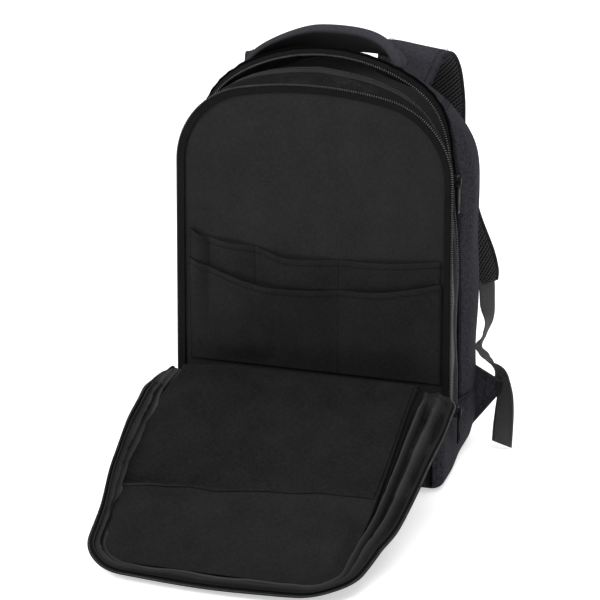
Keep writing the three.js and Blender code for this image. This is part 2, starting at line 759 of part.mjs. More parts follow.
function grabHandle() {
  const { halfSpan, rise, y, z, lean, width, thickness, steps } = HANDLE;
  const rings = Array.from({ length: steps + 1 }, (_, i) => {
    const angle = Math.PI * i / steps;
    const tilt = THREE.MathUtils.degToRad(lean) * Math.sin(angle);
    const up = vector(0, Math.sin(tilt), Math.cos(tilt));
    const centre = vector(-halfSpan * Math.cos(angle), y, z).addScaledVector(up, rise * Math.sin(angle));
    const across = vector(0, Math.cos(tilt), -Math.sin(tilt));
    const along = vector(halfSpan * Math.sin(angle), 0, 0).addScaledVector(up, rise * Math.cos(angle));
    const depth = along.normalize().cross(across);
    return paddedRing(centre, across, depth, width, thickness);
  });
  return loft(rings, 'fan');
}

// Curve through a table's places, mirrored for the left side
function pathCurve(rows, side) {
  return new THREE.CatmullRomCurve3(rows.map(({ x, y, z }) => vector(side * x, y, z)), false, 'centripetal');
}

// A column of a path's table, read by the share of its rows that lies behind
function pathColumn(rows, name) {
  const numbered = rows.map((row, i) => ({ ...row, share: i / (rows.length - 1) }));
  return columnCurve(numbered, 'share', name);
}

function shoulderStrap(sideName, side) {
  const path = STRAP_PATHS[sideName];
  const curve = pathCurve(path, side);
  const widthAt = pathColumn(path, 'width');
  const bankAt = pathColumn(path, 'bank');
  const rings = Array.from({ length: STRAP_STEPS + 1 }, (_, i) => {
    const share = i / STRAP_STEPS;
    const along = curve.getTangent(share);
    const bank = THREE.MathUtils.degToRad(bankAt(share));
    const level = vector(side * Math.cos(bank), 0, -Math.sin(bank));
    const across = level.addScaledVector(along, -level.dot(along)).normalize();
    const depth = across.clone().cross(along);
    return paddedRing(curve.getPoint(share), across, depth, widthAt(share), STRAP_THICKNESS);
  });
  return loft(rings, 'fan');
}

function strapWebbing(sideName, side) {
  const { width, thickness, steps } = WEBBING;
  const path = WEBBING_PATHS[sideName];
  const curve = pathCurve(path, side);
  const turnAt = pathColumn(path, 'turn');
  const layersAt = pathColumn(path, 'layers');
  const rings = Array.from({ length: steps + 1 }, (_, i) => {
    const share = i / steps;
    const turn = THREE.MathUtils.degToRad(turnAt(share));
    const along = curve.getTangent(share);
    const plan = vector(side * Math.cos(turn), Math.sin(turn), 0);
    const across = plan.addScaledVector(along, -plan.dot(along)).normalize();
    const depth = across.clone().cross(along).multiplyScalar(thickness * layersAt(share) / 2);
    const centre = curve.getPoint(share);
    const edge = (u, v) => centre.clone().addScaledVector(across, u * width / 2).addScaledVector(depth, v);
    return [edge(-1, 1), edge(1, 1), edge(1, -1), edge(-1, -1)];
  });
  return loft(rings, 'strip');
}

// Moves a piece drawn outward from the seam to its side of the bag, turned towards the back
function toSeam(geometry, sideName, side) {
  const outward = side > 0 ? 0 : 180;
  const turn = THREE.MathUtils.degToRad(outward + side * TAB_TURN[sideName]);
  return geometry.rotateZ(turn).translate(side * TAB.x, TAB.y, 0);
}

function strapTab(sideName, side) {
  const { thickness, top, bottom, reach, tipLow, tipHigh } = TAB;
  const corners = [[0, bottom], [reach, tipLow], [reach, tipHigh], [0, top]];
  const rings = [-thickness / 2, thickness / 2].map((y) => corners.map(([x, z]) => vector(x, y, z)));
  return toSeam(loft(rings, 'fan'), sideName, side);
}

function ladderLock(sideName, side) {
  const { z, length, thickness, height } = LOCK;
  const plate = new THREE.BoxGeometry(length, thickness, height);
  plate.translate(TAB.reach + GAP + length / 2, 0, z);
  return toSeam(plate, sideName, side);
}

// Zip sliders and pulls, drawn about the hinge with the outside of the bag towards +X

function sliderSolid() {
  const plateTop = -BAIL.window;
  const half = SLIDER.width / 2;
  const bailHalf = BAIL.width / 2;
  const bailTop = BAIL.window + BAIL.thickness;
  const plate = boxSolid([plateTop - SLIDER.thickness, -half, SLIDER.low], [plateTop, half, SLIDER.high]);
  const bail = boxSolid([plateTop - BAIL.root, -bailHalf, -BAIL.reach], [bailTop, bailHalf, BAIL.reach]);
  const inner = BAIL.reach - BAIL.post;
  const past = bailHalf + CUT_PAST;
  const window = boxSolid([plateTop, -past, -inner], [BAIL.window, past, inner]);
  return plate.add(bail.subtract(window));
}

function pullSolid() {
  const { width, arm, thickness, eye, length } = PULL;
  const half = width / 2;
  const thick = thickness / 2;
  const past = thick + CUT_PAST;
  const slotHalf = PULL_SLOT.width / 2;
  const rod = new THREE.CylinderGeometry(thick, thick, width, 8);
  const tab = boxSolid([-thick, -half, -length], [thick, half, 0]);
  const eyeHole = boxSolid([-past, -half + arm, -eye], [past, half - arm, CUT_PAST]);
  const slot = boxSolid([-past, -slotHalf, PULL_SLOT.low], [past, slotHalf, PULL_SLOT.high]);
  return tab.subtract(eyeHole).subtract(slot).add(toSolid(mergePositions(rod.toNonIndexed())));
}

function addSliders() {
  const slider = toGeometry(sliderSolid());
  const pull = toGeometry(pullSolid());
  for (const { name, x, y, z } of SLIDERS) {
    for (const [sideName, side] of [['right', 1], ['left', -1]]) {
      const turned = side > 0 ? 0 : Math.PI;
      const place = (geometry) => geometry.clone().rotateZ(turned).translate(side * x, y, z);
      addPiece(`${name}_slider_${sideName}`, place(slider), ZIP_METAL);
      addPiece(`${name}_pull_${sideName}`, place(pull), ZIP_METAL);
    }
  }
}

addPiece('back_panel', backPanel(), MESH_PAD);
addPiece('rear_gusset', rearGusset(), NAVY_CLOTH);
addPiece('boot', boot(), NAVY_CLOTH);
addPiece('front_panel', frontPanel(), NAVY_CLOTH);
addPiece('flap_liner', flapLiner(), LINING_CLOTH);
addPiece('flap_pocket', flapPocket(), LINING_CLOTH);
addPiece('flap_gusset', flapGusset(), LINING_CLOTH);
addPiece('flap_zip', flapZip(), ZIP_TAPE);
addPiece('organizer_panel', organizerPanel(), LINING_CLOTH);
addPiece('upper_pocket', pocketStrip('upper', upperHem, upperDepth), LINING_CLOTH);
addPiece('lower_pocket', pocketStrip('lower', lowerHem, lowerDepth), LINING_CLOTH);
addPiece('front_gusset', frontGusset(), GUSSET_TWILL);
addPiece('body_zip', bodyZip(), ZIP_TAPE);
addPiece('main_zip_front', archBand(FRONT_ARCH, mainZipFront), ZIP_TAPE);
addPiece('main_zip_rear', archBand(REAR_ARCH, mainZipRear), ZIP_TAPE);
addPiece('grab_handle', grabHandle(), NAVY_CLOTH);
for (const [sideName, side] of [['right', 1], ['left', -1]]) {
  addPiece(`shoulder_strap_${sideName}`, shoulderStrap(sideName, side), NAVY_CLOTH);
  addPiece(`strap_webbing_${sideName}`, strapWebbing(sideName, side), WEBBING_WEAVE);
  addPiece(`strap_tab_${sideName}`, strapTab(sideName, side), NAVY_CLOTH);
  addPiece(`ladder_lock_${sideName}`, ladderLock(sideName, side), PLASTIC);
}
addSliders();

export default backpack;
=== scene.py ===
"""Sewn pieces, zips, straps and studio of a convertible backpack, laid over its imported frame."""

import math

import bmesh
import bpy
import numpy as np
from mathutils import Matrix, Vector


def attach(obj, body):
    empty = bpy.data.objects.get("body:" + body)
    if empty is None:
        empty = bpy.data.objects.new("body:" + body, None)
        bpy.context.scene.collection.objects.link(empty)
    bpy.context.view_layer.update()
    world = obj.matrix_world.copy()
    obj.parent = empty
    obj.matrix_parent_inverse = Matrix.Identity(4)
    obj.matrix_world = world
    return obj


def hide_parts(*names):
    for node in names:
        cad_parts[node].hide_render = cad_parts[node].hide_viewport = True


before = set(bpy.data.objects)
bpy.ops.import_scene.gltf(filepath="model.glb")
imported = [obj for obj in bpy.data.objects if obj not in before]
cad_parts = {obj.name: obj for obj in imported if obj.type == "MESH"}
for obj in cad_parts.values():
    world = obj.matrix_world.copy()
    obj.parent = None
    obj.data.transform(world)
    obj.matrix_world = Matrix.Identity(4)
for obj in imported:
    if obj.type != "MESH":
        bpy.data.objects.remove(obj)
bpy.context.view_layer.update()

bl_info = {
    "name": "Convertible Backpack",
    "version": (1, 0, 0),
    "blender": (4, 5, 0),
    "location": "3D View > Sidebar > Backpack",
    "description": "Builds the cloth, zips, straps and studio of a convertible backpack",
    "category": "Object",
}

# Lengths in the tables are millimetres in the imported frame: x to the right, y to the back, z up
MM = 0.001
GAP = 0.3
BODY = "bag"
UV_NAME = "weave"
# Mesh attribute that carries painted light and shade: above 0 a painted highlight, below 0 painted shade
PAINTED_LIGHT = "tone"

# Arched outlines of the body seen from the front, and the heights between which the main zip opens
SEAM_HEIGHT = 67.0
FRONT_ARCH = {"half": 141.0, "foot": 143.0, "corner": 83.0, "spring": 305.0, "top": 394.0, "low": 67.3}
REAR_ARCH = {"half": 147.3, "foot": 148.5, "corner": 111.0, "spring": 291.0, "top": 414.0, "low": 67.3}
OPEN_FROM, OPEN_FULL = 312.0, 392.0

# Depths of the body from front to back, the ridge along the main zip, and the side wall in section
FRONT_GUSSET_DEPTH = 15.5
REAR_GUSSET_FRONT = 32.8
REAR_EDGE_OPENED = 18.0
BACK_DEPTH = 105.0
POUCH_DEPTH = 48.0
REAR_TOP_TUCK = -4.0
FRONT_RIDGE = {
    "share": [0, 0.12, 0.24, 0.34, 0.5, 0.7, 1],
    "rise": [9, 6, -1, -5, -4.5, -2, 0],
}
REAR_SECTION = {"y": [62, 86, 98, 104], "out": [1, 0, -5, -13], "fall": [3, 8, 9, 8]}

# Base: half width, corner roundings, and the wall's height against its inset
BASE = {"half": 147.5, "front_corner": 14.0, "rear_corner": 24.0}
BASE_SECTION = {
    "z": [67, 56, 44, 32, 21, 11, 7.5, 5, 3.7, 1.5, 0.5, 0],
    "inset": [0, 0, 0, 0, 0, 0, 0.5, 1.8, 2.8, 5, 7.4, 10],
}
# How far the soft base draws in sideways behind and ahead
BASE_SLACK = {
    "z": [0, 12, 24, 40, 54, 67],
    "behind": [5, 3, 0, -2.5, -2.5, -0.5],
    "ahead": [0, 0, 0, 0.5, 2.5, 5.5],
}
# Insets of the rings that close the base below, and the ring down to which the front panel takes the wall's place
BASE_FLOOR = [20, 34, 48, 60, 70, 74]
BASE_LIP_RING = 8
BASE_MIDDLE, BASE_STITCH_DROP = 28.0, 4.5

# Seams of the side wall and the gusset: rows of stitches, the seam over the shoulder, and the binding at the back
SIDE_STITCH_ROWS, GUSSET_STITCH_ROWS = (2, 26), (1, 10)
SHOULDER_SEAM = {"share": 0.648, "radius": 0.6}
BACK_BINDING = {"y": 104.0, "inset": 14.2, "opened": 7.0}

# Zip halves: the tape's width, the line of the teeth, the cord under them, one tooth, and the ridge that the closed
# main zip forms on the right
ZIP_TAPE = 6.2
ZIP_TEETH = 7.2
ZIP_WIDTH = 8.3
ZIP_CORD = 0.75
ZIP_TOOTH = {"along": 1.1, "across": 2.4, "high": 2.2}
ZIP_RIDGE = {
    "z": [0, 60, 100, 140, 170, 200, 230, 260, 282, 500],
    "out": [0, 1.5, 2, 0.5, 1.5, 3.2, 3.2, 2, 0, 0],
}
BODY_ZIP = {"y": -1.8, "inside": 0.2, "above": 10.0}

# Organizer panel and its rows of pockets
ORGANIZER = {"inset": 4.0, "depth": 2.5, "foot": 3.6, "corner": 18.0}
UPPER_LINES = [-129, -108, -60, 26, 131]
LOWER_LINES = [-130, 26, 132]
UPPER_FOOT, LOWER_FOOT = 100.0, 96.0
UPPER_GAPE, LOWER_GAPE = 5.0, 6.0
UPPER_HEM = {"x": [-129, -108, -62, -23, 26, 80, 131], "z": [236, 228, 223, 214.5, 217, 220, 226]}
LOWER_HEM = {"x": [-130, -95, -37, 7, 26, 72, 132], "z": [205, 195, 183, 184, 186, 191, 203]}
HEM_WIDTH = 6.0

# Front panel: its middle in side view, its half width and sideways drift along it, its lining and slip pocket
FRONT_PROFILE = [
    (-46.2, 4), (-46.2, 58), (-43, 86), (-41, 99), (-48, 108), (-60, 105),
    (-120, 81.5), (-180, 56), (-240, 28), (-276, 12.5), (-303, 6),
]
FRONT_WIDTH = {
    "along": [0, 70, 106, 170, 226, 276, 326, 376],
    "half": [132.5, 132.5, 121.5, 125.5, 128.5, 127.5, 122, 114],
    "drift": [0, 0, 0.5, -3.5, -6.5, -6.5, -5.5, -5],
}
FAR_CORNER = 30.0
PANEL_HALF = 2.0
POUCH_PIPING = (2, 66)
LINER = {"inset": 0.5, "from": 98.0, "short": 1.0}
COVER_POCKET = {"inset": 3.0, "from": 109.0, "to": 284.0, "gape": 0.25}
COVER_HEM = {"share": [-1, -0.6, 0, 0.5, 1], "drop": [0, 5, 12, 18, 21]}

# Wall round the opened cover: where its rim lies from its root, from the left zip end to the right one
COVER_WALL_FROM = 66.5
COVER_WALL_GAP = 0.9
COVER_ZIP_GAP = 1.0
COVER_LAP = 3.6
COVER_RIM = {
    "share": [0, 0.03, 0.048, 0.07, 0.094, 0.125, 0.155, 0.2, 0.24, 0.3, 0.345, 0.4, 0.5, 0.58, 0.625, 0.69, 0.73,
              0.82, 0.9, 0.93, 0.952, 0.972, 1],
    "out": [8, 11, 19, 23, 19, 11, 4, 0, -1, 3, 12, 19, 24, 21, 17, 22, 29, 36, 42, 42, 30, 12, 8],
    "up": [38, 15, -2, 2, 9, 20, 27, 31, 31, 21, 14.5, 13.5, 13.5, 14, 14, 11, 7, 2, 0, -2, -2, 14, 38],
}
# Folds of that wall: height of the inner groove, the roll beside it, the valley, the outer band and the dip at the rim
BELLOWS = {
    "share": [0, 0.06, 0.1, 0.16, 0.26, 0.34, 0.42, 0.56, 0.64, 0.7, 0.8, 0.9, 0.94, 1],
    "groove": [0, 0, 0, -1, -1, 1, 4, 4, 1, -2, -2.5, -2.5, 0, 0],
    "roll": [0, 1, 4, 10, 8.5, 6.5, 5.5, 5.5, 8, 11, 12, 12, 3, 0],
    "valley": [0, 0, 0, -2, -2, 0, 2.2, 2.2, 1.5, 0.5, 0, 0, 1, 0],
    "band": [0, 1, 2, 5, 5, 4.5, 4.2, 4.2, 5, 7, 8, 8, 3, 0],
    "dip": [0, 0, 0, 0, 0, 0.5, 1, 1, 0, -0.5, -1, -1, 0, 0],
}
BELLOWS_KNOTS = [0, 0.1, 0.25, 0.4, 0.62, 0.84, 1]
BELLOWS_EDGE = 0.8
BELLOWS_PART = np.r_[-0.14, np.linspace(0, 1, 34)]
# Painted light and shade across that wall along the cover's far end
FRONT_ROLL = {
    "part": [0, 0.06, 0.12, 0.28, 0.38, 0.48, 0.56, 0.68, 0.8, 1],
    "tone": [-1.2, 0, 1.1, 1.0, -1.0, -1.2, -0.2, -0.3, -1.2, -1.4],
}

# Back pad: its inset in the rear arch, its faces, and the two seams that quilt it
PAD = {
    "inset": 13.0, "lower": 5.0, "corner": 14.0, "rim": 4, "outer": 103.5, "swell": 3.5, "ridge": 1.2,
    "inner": 97.5, "dish": 1.5, "seam": 38.0, "slope": 20.0, "sewn": 3.0,
}

# Grab handle: its arch, its section, and the left leg that slumps outwards and is pressed thinner
HANDLE = {
    "span": 70.0, "rise": 33.0, "y": 64.0, "z": 401.7, "lean": 52.0, "set_back": 7.0,
    "width": 33.0, "end": 22.0, "thick": 11.0, "edge": 0.9,
    "flare": 17.0, "droop": 12.0, "left_thick": 6.0,
}

# Shoulder straps and webbing, each row a place on the path and the strip's shape there
STRAP_THICK = 11.0
STRAP_EDGE = 0.36
STRAP_BINDING = 2.1
STRAP_COLUMNS = ("x", "y", "z", "width", "bank")
STRAPS = {
    "right": [
        (66, 82, 381, 54, 26), (68, 97, 392.2, 58, 24), (69, 107, 401, 62, 15), (70, 119, 403.5, 65, 9),
        (73, 131, 398, 67, 7), (77.5, 140, 381, 69, 3), (81, 144, 352, 69, 0), (84, 146, 305, 66, 0),
        (93, 147, 258, 62, 0), (106, 147.5, 216, 60, 0), (121.5, 147.5, 180, 58, 0), (130, 147, 160, 52, 0),
        (134, 147, 149, 42, 0),
    ],
    "left": [
        (67, 92, 383.5, 56, 28), (68, 107, 393.5, 60, 27), (70, 118, 392.5, 65, 24), (73, 128, 381, 70, 16),
        (77, 137, 358, 72, 6), (81, 146, 328, 72, 0), (83, 152, 305, 70, 0), (86, 155, 275, 66, 0),
        (94, 154, 245, 62, 0), (106, 151, 212, 60, 0), (121.5, 148.5, 180, 58, 0), (130, 147, 160, 52, 0),
        (134, 147, 149, 42, 0),
    ],
}
WEBBING_WIDTH, WEBBING_THICK = 21.0, 1.6
WEBBING_TAIL, WEBBING_SEAM, WEBBING_SLANT = 0.66, 8.6, 3.4
WEBBING_COLUMNS = ("x", "y", "z", "turn", "layers")
WEBBINGS = {
    "right": [
        (142.3, 147.5, 156.3, 50, 1), (143.6, 147, 149.0, 52, 1), (145.0, 145, 131.1, 56, 1),
        (147.9, 139, 114.8, 78, 1), (145.9, 131, 102.0, 88, 1), (144.0, 122, 91.9, 90, 1),
        (149.5, 115, 86.3, 97, 1), (157.1, 108, 81.6, 110, 1), (167.3, 99, 75.2, 134, 1),
        (175.2, 90.5, 67.3, 148, 1), (179.0, 86.5, 56.7, 152, 2), (179.7, 83, 40.5, 168, 2),
        (179.3, 80, 21.6, 184, 2), (179.2, 77, 5.0, 195, 2),
    ],
    "left": [
        (137, 147, 149.5, 0, 1), (142, 146.5, 136, 0, 1), (149, 142, 118, -6, 1), (155, 133, 97, -18, 1),
        (160, 125, 79, -26, 1), (163, 119, 62, -30, 1), (164, 118, 40, -30, 2), (163, 117, 20, -30, 2),
        (162, 116, 4.2, -30, 2),
    ],
}
# Side tabs: root, reach, heights at the root and at the tip, and how far each is turned back
TAB = {"x": 148.4, "y": 89.5, "thick": 3.0, "top": 83.0, "bottom": 23.0, "reach": 28.0, "low": 60.5, "high": 68.0}
TAB_TURN = {"right": 0.0, "left": 60.0}
TAB_STITCH_INSETS = (3.0, 6.5)
SIDES = {"right": 1, "left": -1}
HARD_NODES = [f"{zip_name}_{part}_{side}" for zip_name in ("main", "front") for part in ("slider", "pull")
              for side in SIDES]
LOCK_NODES = [f"ladder_lock_{side}" for side in SIDES]

# Rows and columns of the cloth grids, places along the zips, and frames in which the padding is filled
SIDE_GRID = (240, 30)
GUSSET_GRID = (260, 12)
COVER_GRID = (130, 49)
LINING_GRID = (110, 81)
COVER_POCKET_GRID = (90, 85)
COVER_WALL_STATIONS = 300
ORGANIZER_GRID = (116, 91)
POCKET_GRID = (60, 175)
PAD_GRID = (84, 61)
ZIP_STATIONS = 300
HANDLE_RINGS, HANDLE_FACE = 64, 13
STRAP_RINGS, STRAP_FACE = 96, 17
WEBBING_RINGS, WEBBING_FACE = 150, 11
PUFF_FRAMES = 20


# Sizes, colours and studio


def length(name, description, millimetres):
    return bpy.props.FloatProperty(
        name=name, description=description, default=millimetres * MM, min=0.0, precision=4,
        subtype="DISTANCE", unit="LENGTH",
    )


def colour(name, description, value):
    return bpy.props.FloatVectorProperty(
        name=name, description=description, default=value, size=3, min=0.0, max=1.0, subtype="COLOR",
    )


class BackpackSizes(bpy.types.PropertyGroup):
    """Cloth, zips, thread and padding"""

    outer_cloth: length("Outer cloth", "Thickness of the outer walls", 3.0)
    gusset_cloth: length("Gusset cloth", "Thickness of the narrow gussets", 2.0)
    lining: length("Lining", "Thickness of the lining", 1.5)
    pocket_cloth: length("Pocket cloth", "Thickness of the pockets", 1.2)
    tape_cloth: length("Zip tape", "Thickness of the zip tapes", 1.1)
    tooth_pitch: length("Tooth pitch", "Distance from one zip tooth to the next", 2.3)
    stitch_pitch: length("Stitch pitch", "Distance from one stitch to the next", 3.4)
    stitch_length: length("Stitch length", "Length of one stitch", 2.5)
    thread: length("Thread", "Width of the sewing thread", 0.75)
    piping: length("Piping", "Radius of the bound edges", 1.7)
    pad_pressure: bpy.props.FloatProperty(
        name="Pad pressure", description="How firmly the padding fills its cover", default=4.0, min=0.0,
        subtype="FACTOR", max=20.0,
    )
    pad_travel: length("Pad travel", "Furthest that the padding moves its cover", 5.0)


class BackpackColours(bpy.types.PropertyGroup):
    """Colours of the finishes, some of them lighter or darker copies that paint light and shade"""

    navy: colour("Navy cloth", "Dark threads of the outer cloth", (0.007, 0.007, 0.010))
    navy_light: colour("Navy cloth, light", "Light threads of the outer cloth", (0.0342, 0.0345, 0.0408))
    lining: colour("Lining", "Shaded lining", (0.004, 0.004, 0.0042))
    lining_light: colour("Lining, light", "Lit threads of the lining", (0.030, 0.030, 0.031))
    # The inner lining is a lighter copy of the lining: painted light in the shaded inside of the main compartment
    inner: colour("Inner lining", "Shaded lining inside the main compartment", (0.02, 0.02, 0.0205))
    inner_light: colour("Inner lining, light", "Lit lining inside the main compartment", (0.085, 0.085, 0.087))
    satin_light: colour("Satin, light", "Lit folds of the cover's wall", (0.034, 0.034, 0.035))
    twill: colour("Grey twill", "Dark lines of the twill gusset", (0.006, 0.006, 0.0063))
    twill_light: colour("Grey twill, light", "Light lines of the twill gusset", (0.116, 0.116, 0.119))
    tape: colour("Zip tape", "Zip tape", (0.0015, 0.0015, 0.0016))
    tape_light: colour("Zip tape, light", "Ribs of the zip tape", (0.011, 0.011, 0.0113))
    # The main zip's tape is a lighter copy of the zip tape: painted light on the main zip's front half
    lit_side_tape: colour("Main zip tape", "Ribs of the main zip's tape", (0.04, 0.04, 0.041))
    # The binding is painted near-black: a painted shadow in the gap along the main opening
    binding: colour("Binding", "Edge binding of the main opening", (0.0025, 0.0025, 0.0026))
    teeth: colour("Zip teeth", "Moulded zip teeth", (0.045, 0.045, 0.046))
    # Lit teeth are a lighter copy of the teeth: painted highlights on some runs of them
    lit_teeth: colour("Lit zip teeth", "Worn, lighter runs of zip teeth", (0.085, 0.085, 0.086))
    mesh: colour("Mesh", "Holes of the spacer mesh", (0.0015, 0.0015, 0.0016))
    mesh_light: colour("Mesh, light", "Ribs of the spacer mesh", (0.05, 0.05, 0.052))
    webbing: colour("Webbing", "Grooves of the webbing", (0.012, 0.012, 0.0125))
    webbing_light: colour("Webbing, light", "Ribs of the webbing", (0.085, 0.085, 0.086))
    plastic: colour("Plastic", "Moulded plastic", (0.009, 0.009, 0.0095))
    metal: colour("Zip metal", "Dark gunmetal of sliders and pulls", (0.006, 0.006, 0.0065))
    dull_metal: colour("Front pulls", "Blackened front zip pulls", (0.003, 0.003, 0.003))
    thread: colour("Thread", "Sewing thread", (0.004, 0.004, 0.0045))
    floor: colour("Floor", "Pale studio floor", (0.9, 0.9, 0.9))


class StudioSettings(bpy.types.PropertyGroup):
    """Camera and light"""

    azimuth: bpy.props.FloatProperty(
        name="Azimuth", description="Camera's turn to the right of the front", default=math.radians(16.8),
        subtype="ANGLE", unit="ROTATION",
    )
    elevation: bpy.props.FloatProperty(
        name="Elevation", description="Camera's height over the horizon", default=math.radians(20.8),
        subtype="ANGLE", unit="ROTATION",
    )
    distance: length("Distance", "Distance from the camera to the middle of the view", 2912.0)
    target: bpy.props.FloatVectorProperty(
        name="Target", description="Middle of the view", default=(-0.0136, 0.0, 0.1697), size=3,
        subtype="TRANSLATION", unit="LENGTH",
    )
    lens: bpy.props.FloatProperty(
        name="Lens", description="Focal length on a 36 mm sensor", default=174.9, min=1.0, subtype="DISTANCE_CAMERA",
        unit="CAMERA",
    )
    sky: bpy.props.FloatProperty(
        name="Sky", description="Strength of the white surround", default=0.6, min=0.0, subtype="FACTOR", max=10.0,
    )
    key: bpy.props.FloatProperty(
        name="Key", description="Power of the large light on the front left", default=60.0, min=0.0,
        subtype="POWER", unit="POWER",
    )
    top: bpy.props.FloatProperty(
        name="Top", description="Power of the light overhead", default=30.0, min=0.0, subtype="POWER", unit="POWER",
    )


def sizes():
    return bpy.context.scene.backpack_sizes


def colours():
    return bpy.context.scene.backpack_colours


def studio():
    return bpy.context.scene.backpack_studio


# Numbers


def read(table, key, name, at):
    """One column of a table between its rows, smooth and never past them."""
    keys, values = np.asarray(table[key], float), np.asarray(table[name], float)
    widths = np.diff(keys)
    steps = np.diff(values) / widths
    before, after = np.r_[steps[:1], steps], np.r_[steps, steps[-1:]]
    same = before * after > 0
    slopes = np.where(same, 2 * before * after / np.where(same, before + after, 1), 0)
    at = np.clip(np.asarray(at, float), keys[0], keys[-1])
    low = np.clip(np.searchsorted(keys, at, side="right") - 1, 0, len(keys) - 2)
    share = (at - keys[low]) / widths[low]
    eased = share * share * (3 - 2 * share)
    bend = share * (1 - share) ** 2 * slopes[low] + share * share * (share - 1) * slopes[low + 1]
    return values[low] * (1 - eased) + values[low + 1] * eased + widths[low] * bend


def smooth(at, low, high):
    """0 before low, 1 past high, eased between them; a high below low turns it round."""
    share = np.clip((np.asarray(at, float) - low) / (high - low), 0, 1)
    return share * share * (3 - 2 * share)


def waves(u, v, size, seed, count=12):
    """Gentle waves about size apart, the same each time for a seed, mostly between -1 and 1."""
    rng = np.random.default_rng(seed)
    total = 0.0
    for _ in range(count):
        turn, phase = rng.uniform(0, math.tau, 2)
        wavelength = size * rng.uniform(0.7, 1.6)
        total = total + np.sin((u * math.cos(turn) + v * math.sin(turn)) * math.tau / wavelength + phase)
    return total / math.sqrt(count)


def unit(vectors):
    return vectors / np.maximum(np.linalg.norm(vectors, axis=-1, keepdims=True), 1e-12)


def lengths(points):
    """Length along a line at each of its points."""
    return np.r_[0, np.cumsum(np.linalg.norm(np.diff(points, axis=0), axis=1))]


def spaced(points, count):
    """The same line with points equally far apart."""
    along = lengths(points)
    at = np.linspace(0, along[-1], count)
    return np.stack([np.interp(at, along, points[:, k]) for k in range(points.shape[1])], axis=1)


def catmull(points, at):
    """Centripetal curve through points, read at shares of its spans."""
    points = np.asarray(points, float)
    padded = np.vstack([2 * points[0] - points[1], points, 2 * points[-1] - points[-2]])
    place = np.clip(np.asarray(at, float), 0, 1) * (len(points) - 1)
    span = np.minimum(place.astype(int), len(points) - 2)
    weight = (place - span)[:, None]
    p0, p1, p2, p3 = (padded[span + k] for k in range(4))
    d0, d1, d2 = (np.maximum(np.linalg.norm(b - a, axis=1, keepdims=True), 1e-6) ** 0.5
                  for a, b in ((p0, p1), (p1, p2), (p2, p3)))
    m1 = ((p1 - p0) / d0 - (p2 - p0) / (d0 + d1) + (p2 - p1) / d1) * d1
    m2 = ((p2 - p1) / d1 - (p3 - p1) / (d1 + d2) + (p3 - p2) / d2) * d1
    c2 = -3 * p1 + 3 * p2 - 2 * m1 - m2
    c3 = 2 * p1 - 2 * p2 + m1 + m2
    return p1 + m1 * weight + c2 * weight ** 2 + c3 * weight ** 3


def eased_ends(count, reach):
    """1 along a row of points, eased to 0 at both of its ends."""
    at = np.arange(count)
    return smooth(at, 0, reach) * smooth(count - 1 - at, 0, reach)


def tangents(points):
    return unit(np.gradient(points, axis=0))


def grid_normals(points):
    return unit(np.cross(np.gradient(points, axis=0), np.gradient(points, axis=1)))


# Arches of the body


def arch_crown(arch):
    """Where an arch's corners have their centres, the crown's radius, and the angle at which the two meet."""
    centre = arch["half"] - arch["corner"]
    drop = arch["spring"] - arch["top"]
    crown = (arch["corner"] ** 2 - centre ** 2 - drop ** 2) / (2 * (drop + arch["corner"]))
    return centre, crown, math.atan2(drop + crown, centre)


def arch_line(arch):
    """Dense outline of an arch, from the left foot over the crown to the right foot."""
    centre, crown, turn = arch_crown(arch)
    left = np.linspace(math.pi, math.pi - turn, 160)
    over = np.linspace(math.pi - turn, turn, 240)
    corner = np.stack([-centre + arch["corner"] * np.cos(left), arch["spring"] + arch["corner"] * np.sin(left)], 1)
    top = np.stack([crown * np.cos(over), arch["top"] - crown + crown * np.sin(over)], 1)
    side = np.linspace([-arch["foot"], arch["low"]], [-arch["half"], arch["spring"]], 200)
    right = np.vstack([side, corner])[::-1] * [-1, 1]
    return np.vstack([side, corner[1:], top[1:-1], right])


def arch_height(arch, share):
    """Height of an arch's outline over shares of its half width."""
    centre, crown, turn = arch_crown(arch)
    x = np.abs(share) * arch["half"]
    meets = centre + arch["corner"] * math.cos(turn)
    over = arch["top"] - crown + np.sqrt(np.maximum(crown ** 2 - np.minimum(x, meets) ** 2, 0))
    side = arch["spring"] + np.sqrt(np.maximum(arch["corner"] ** 2 - np.maximum(x - centre, 0) ** 2, 0))
    return np.where(x <= meets, over, side)


def arch_face(arch, foot, foot_corner, rows, cols):
    """Across and up over the face of an arch with rounded lower corners."""
    share = np.sin(np.linspace(-math.pi / 2, math.pi / 2, cols))
    past = np.maximum(np.abs(share) * arch["foot"] - (arch["foot"] - foot_corner), 0)
    low = foot + foot_corner - np.sqrt(np.maximum(foot_corner ** 2 - past ** 2, 0))
    part = np.linspace(0, 1, rows)[:, None]
    z = low * (1 - part) + arch_height(arch, share) * part
    lean = np.clip((z - arch["low"]) / (arch["spring"] - arch["low"]), 0, 1)
    return share * (arch["foot"] * (1 - lean) + arch["half"] * lean), z


def shrunk(arch, inset):
    """The same arch, inset all round."""
    return {**arch, "half": arch["half"] - inset, "foot": arch["foot"] - inset, "corner": arch["corner"] - inset,
            "top": arch["top"] - inset}


class Stations:
    """Places round an arch with the way out from it, and how far the main zip stands open there."""

    def __init__(self, arch, count):
        line = spaced(arch_line(arch), count)
        way = tangents(line)
        self.x, self.z = line.T
        self.nx, self.nz = -way[:, 1], way[:, 0]
        self.share = np.abs(np.linspace(-1, 1, count))
        self.open = smooth(self.z, OPEN_FROM, OPEN_FULL)
        self.along = lengths(line)

    def place(self, y, out):
        """Points at depths and distances outside the arch, one row a station, in metres."""
        x = self.x[:, None] + self.nx[:, None] * out
        z = self.z[:, None] + self.nz[:, None] * out
        return np.stack(np.broadcast_arrays(x, y, z), axis=2) * MM


def ridge_rise(share):
    """How far the gusset flares out towards the main zip, by the share of the way down from the crown."""
    return read(FRONT_RIDGE, "share", "rise", share)


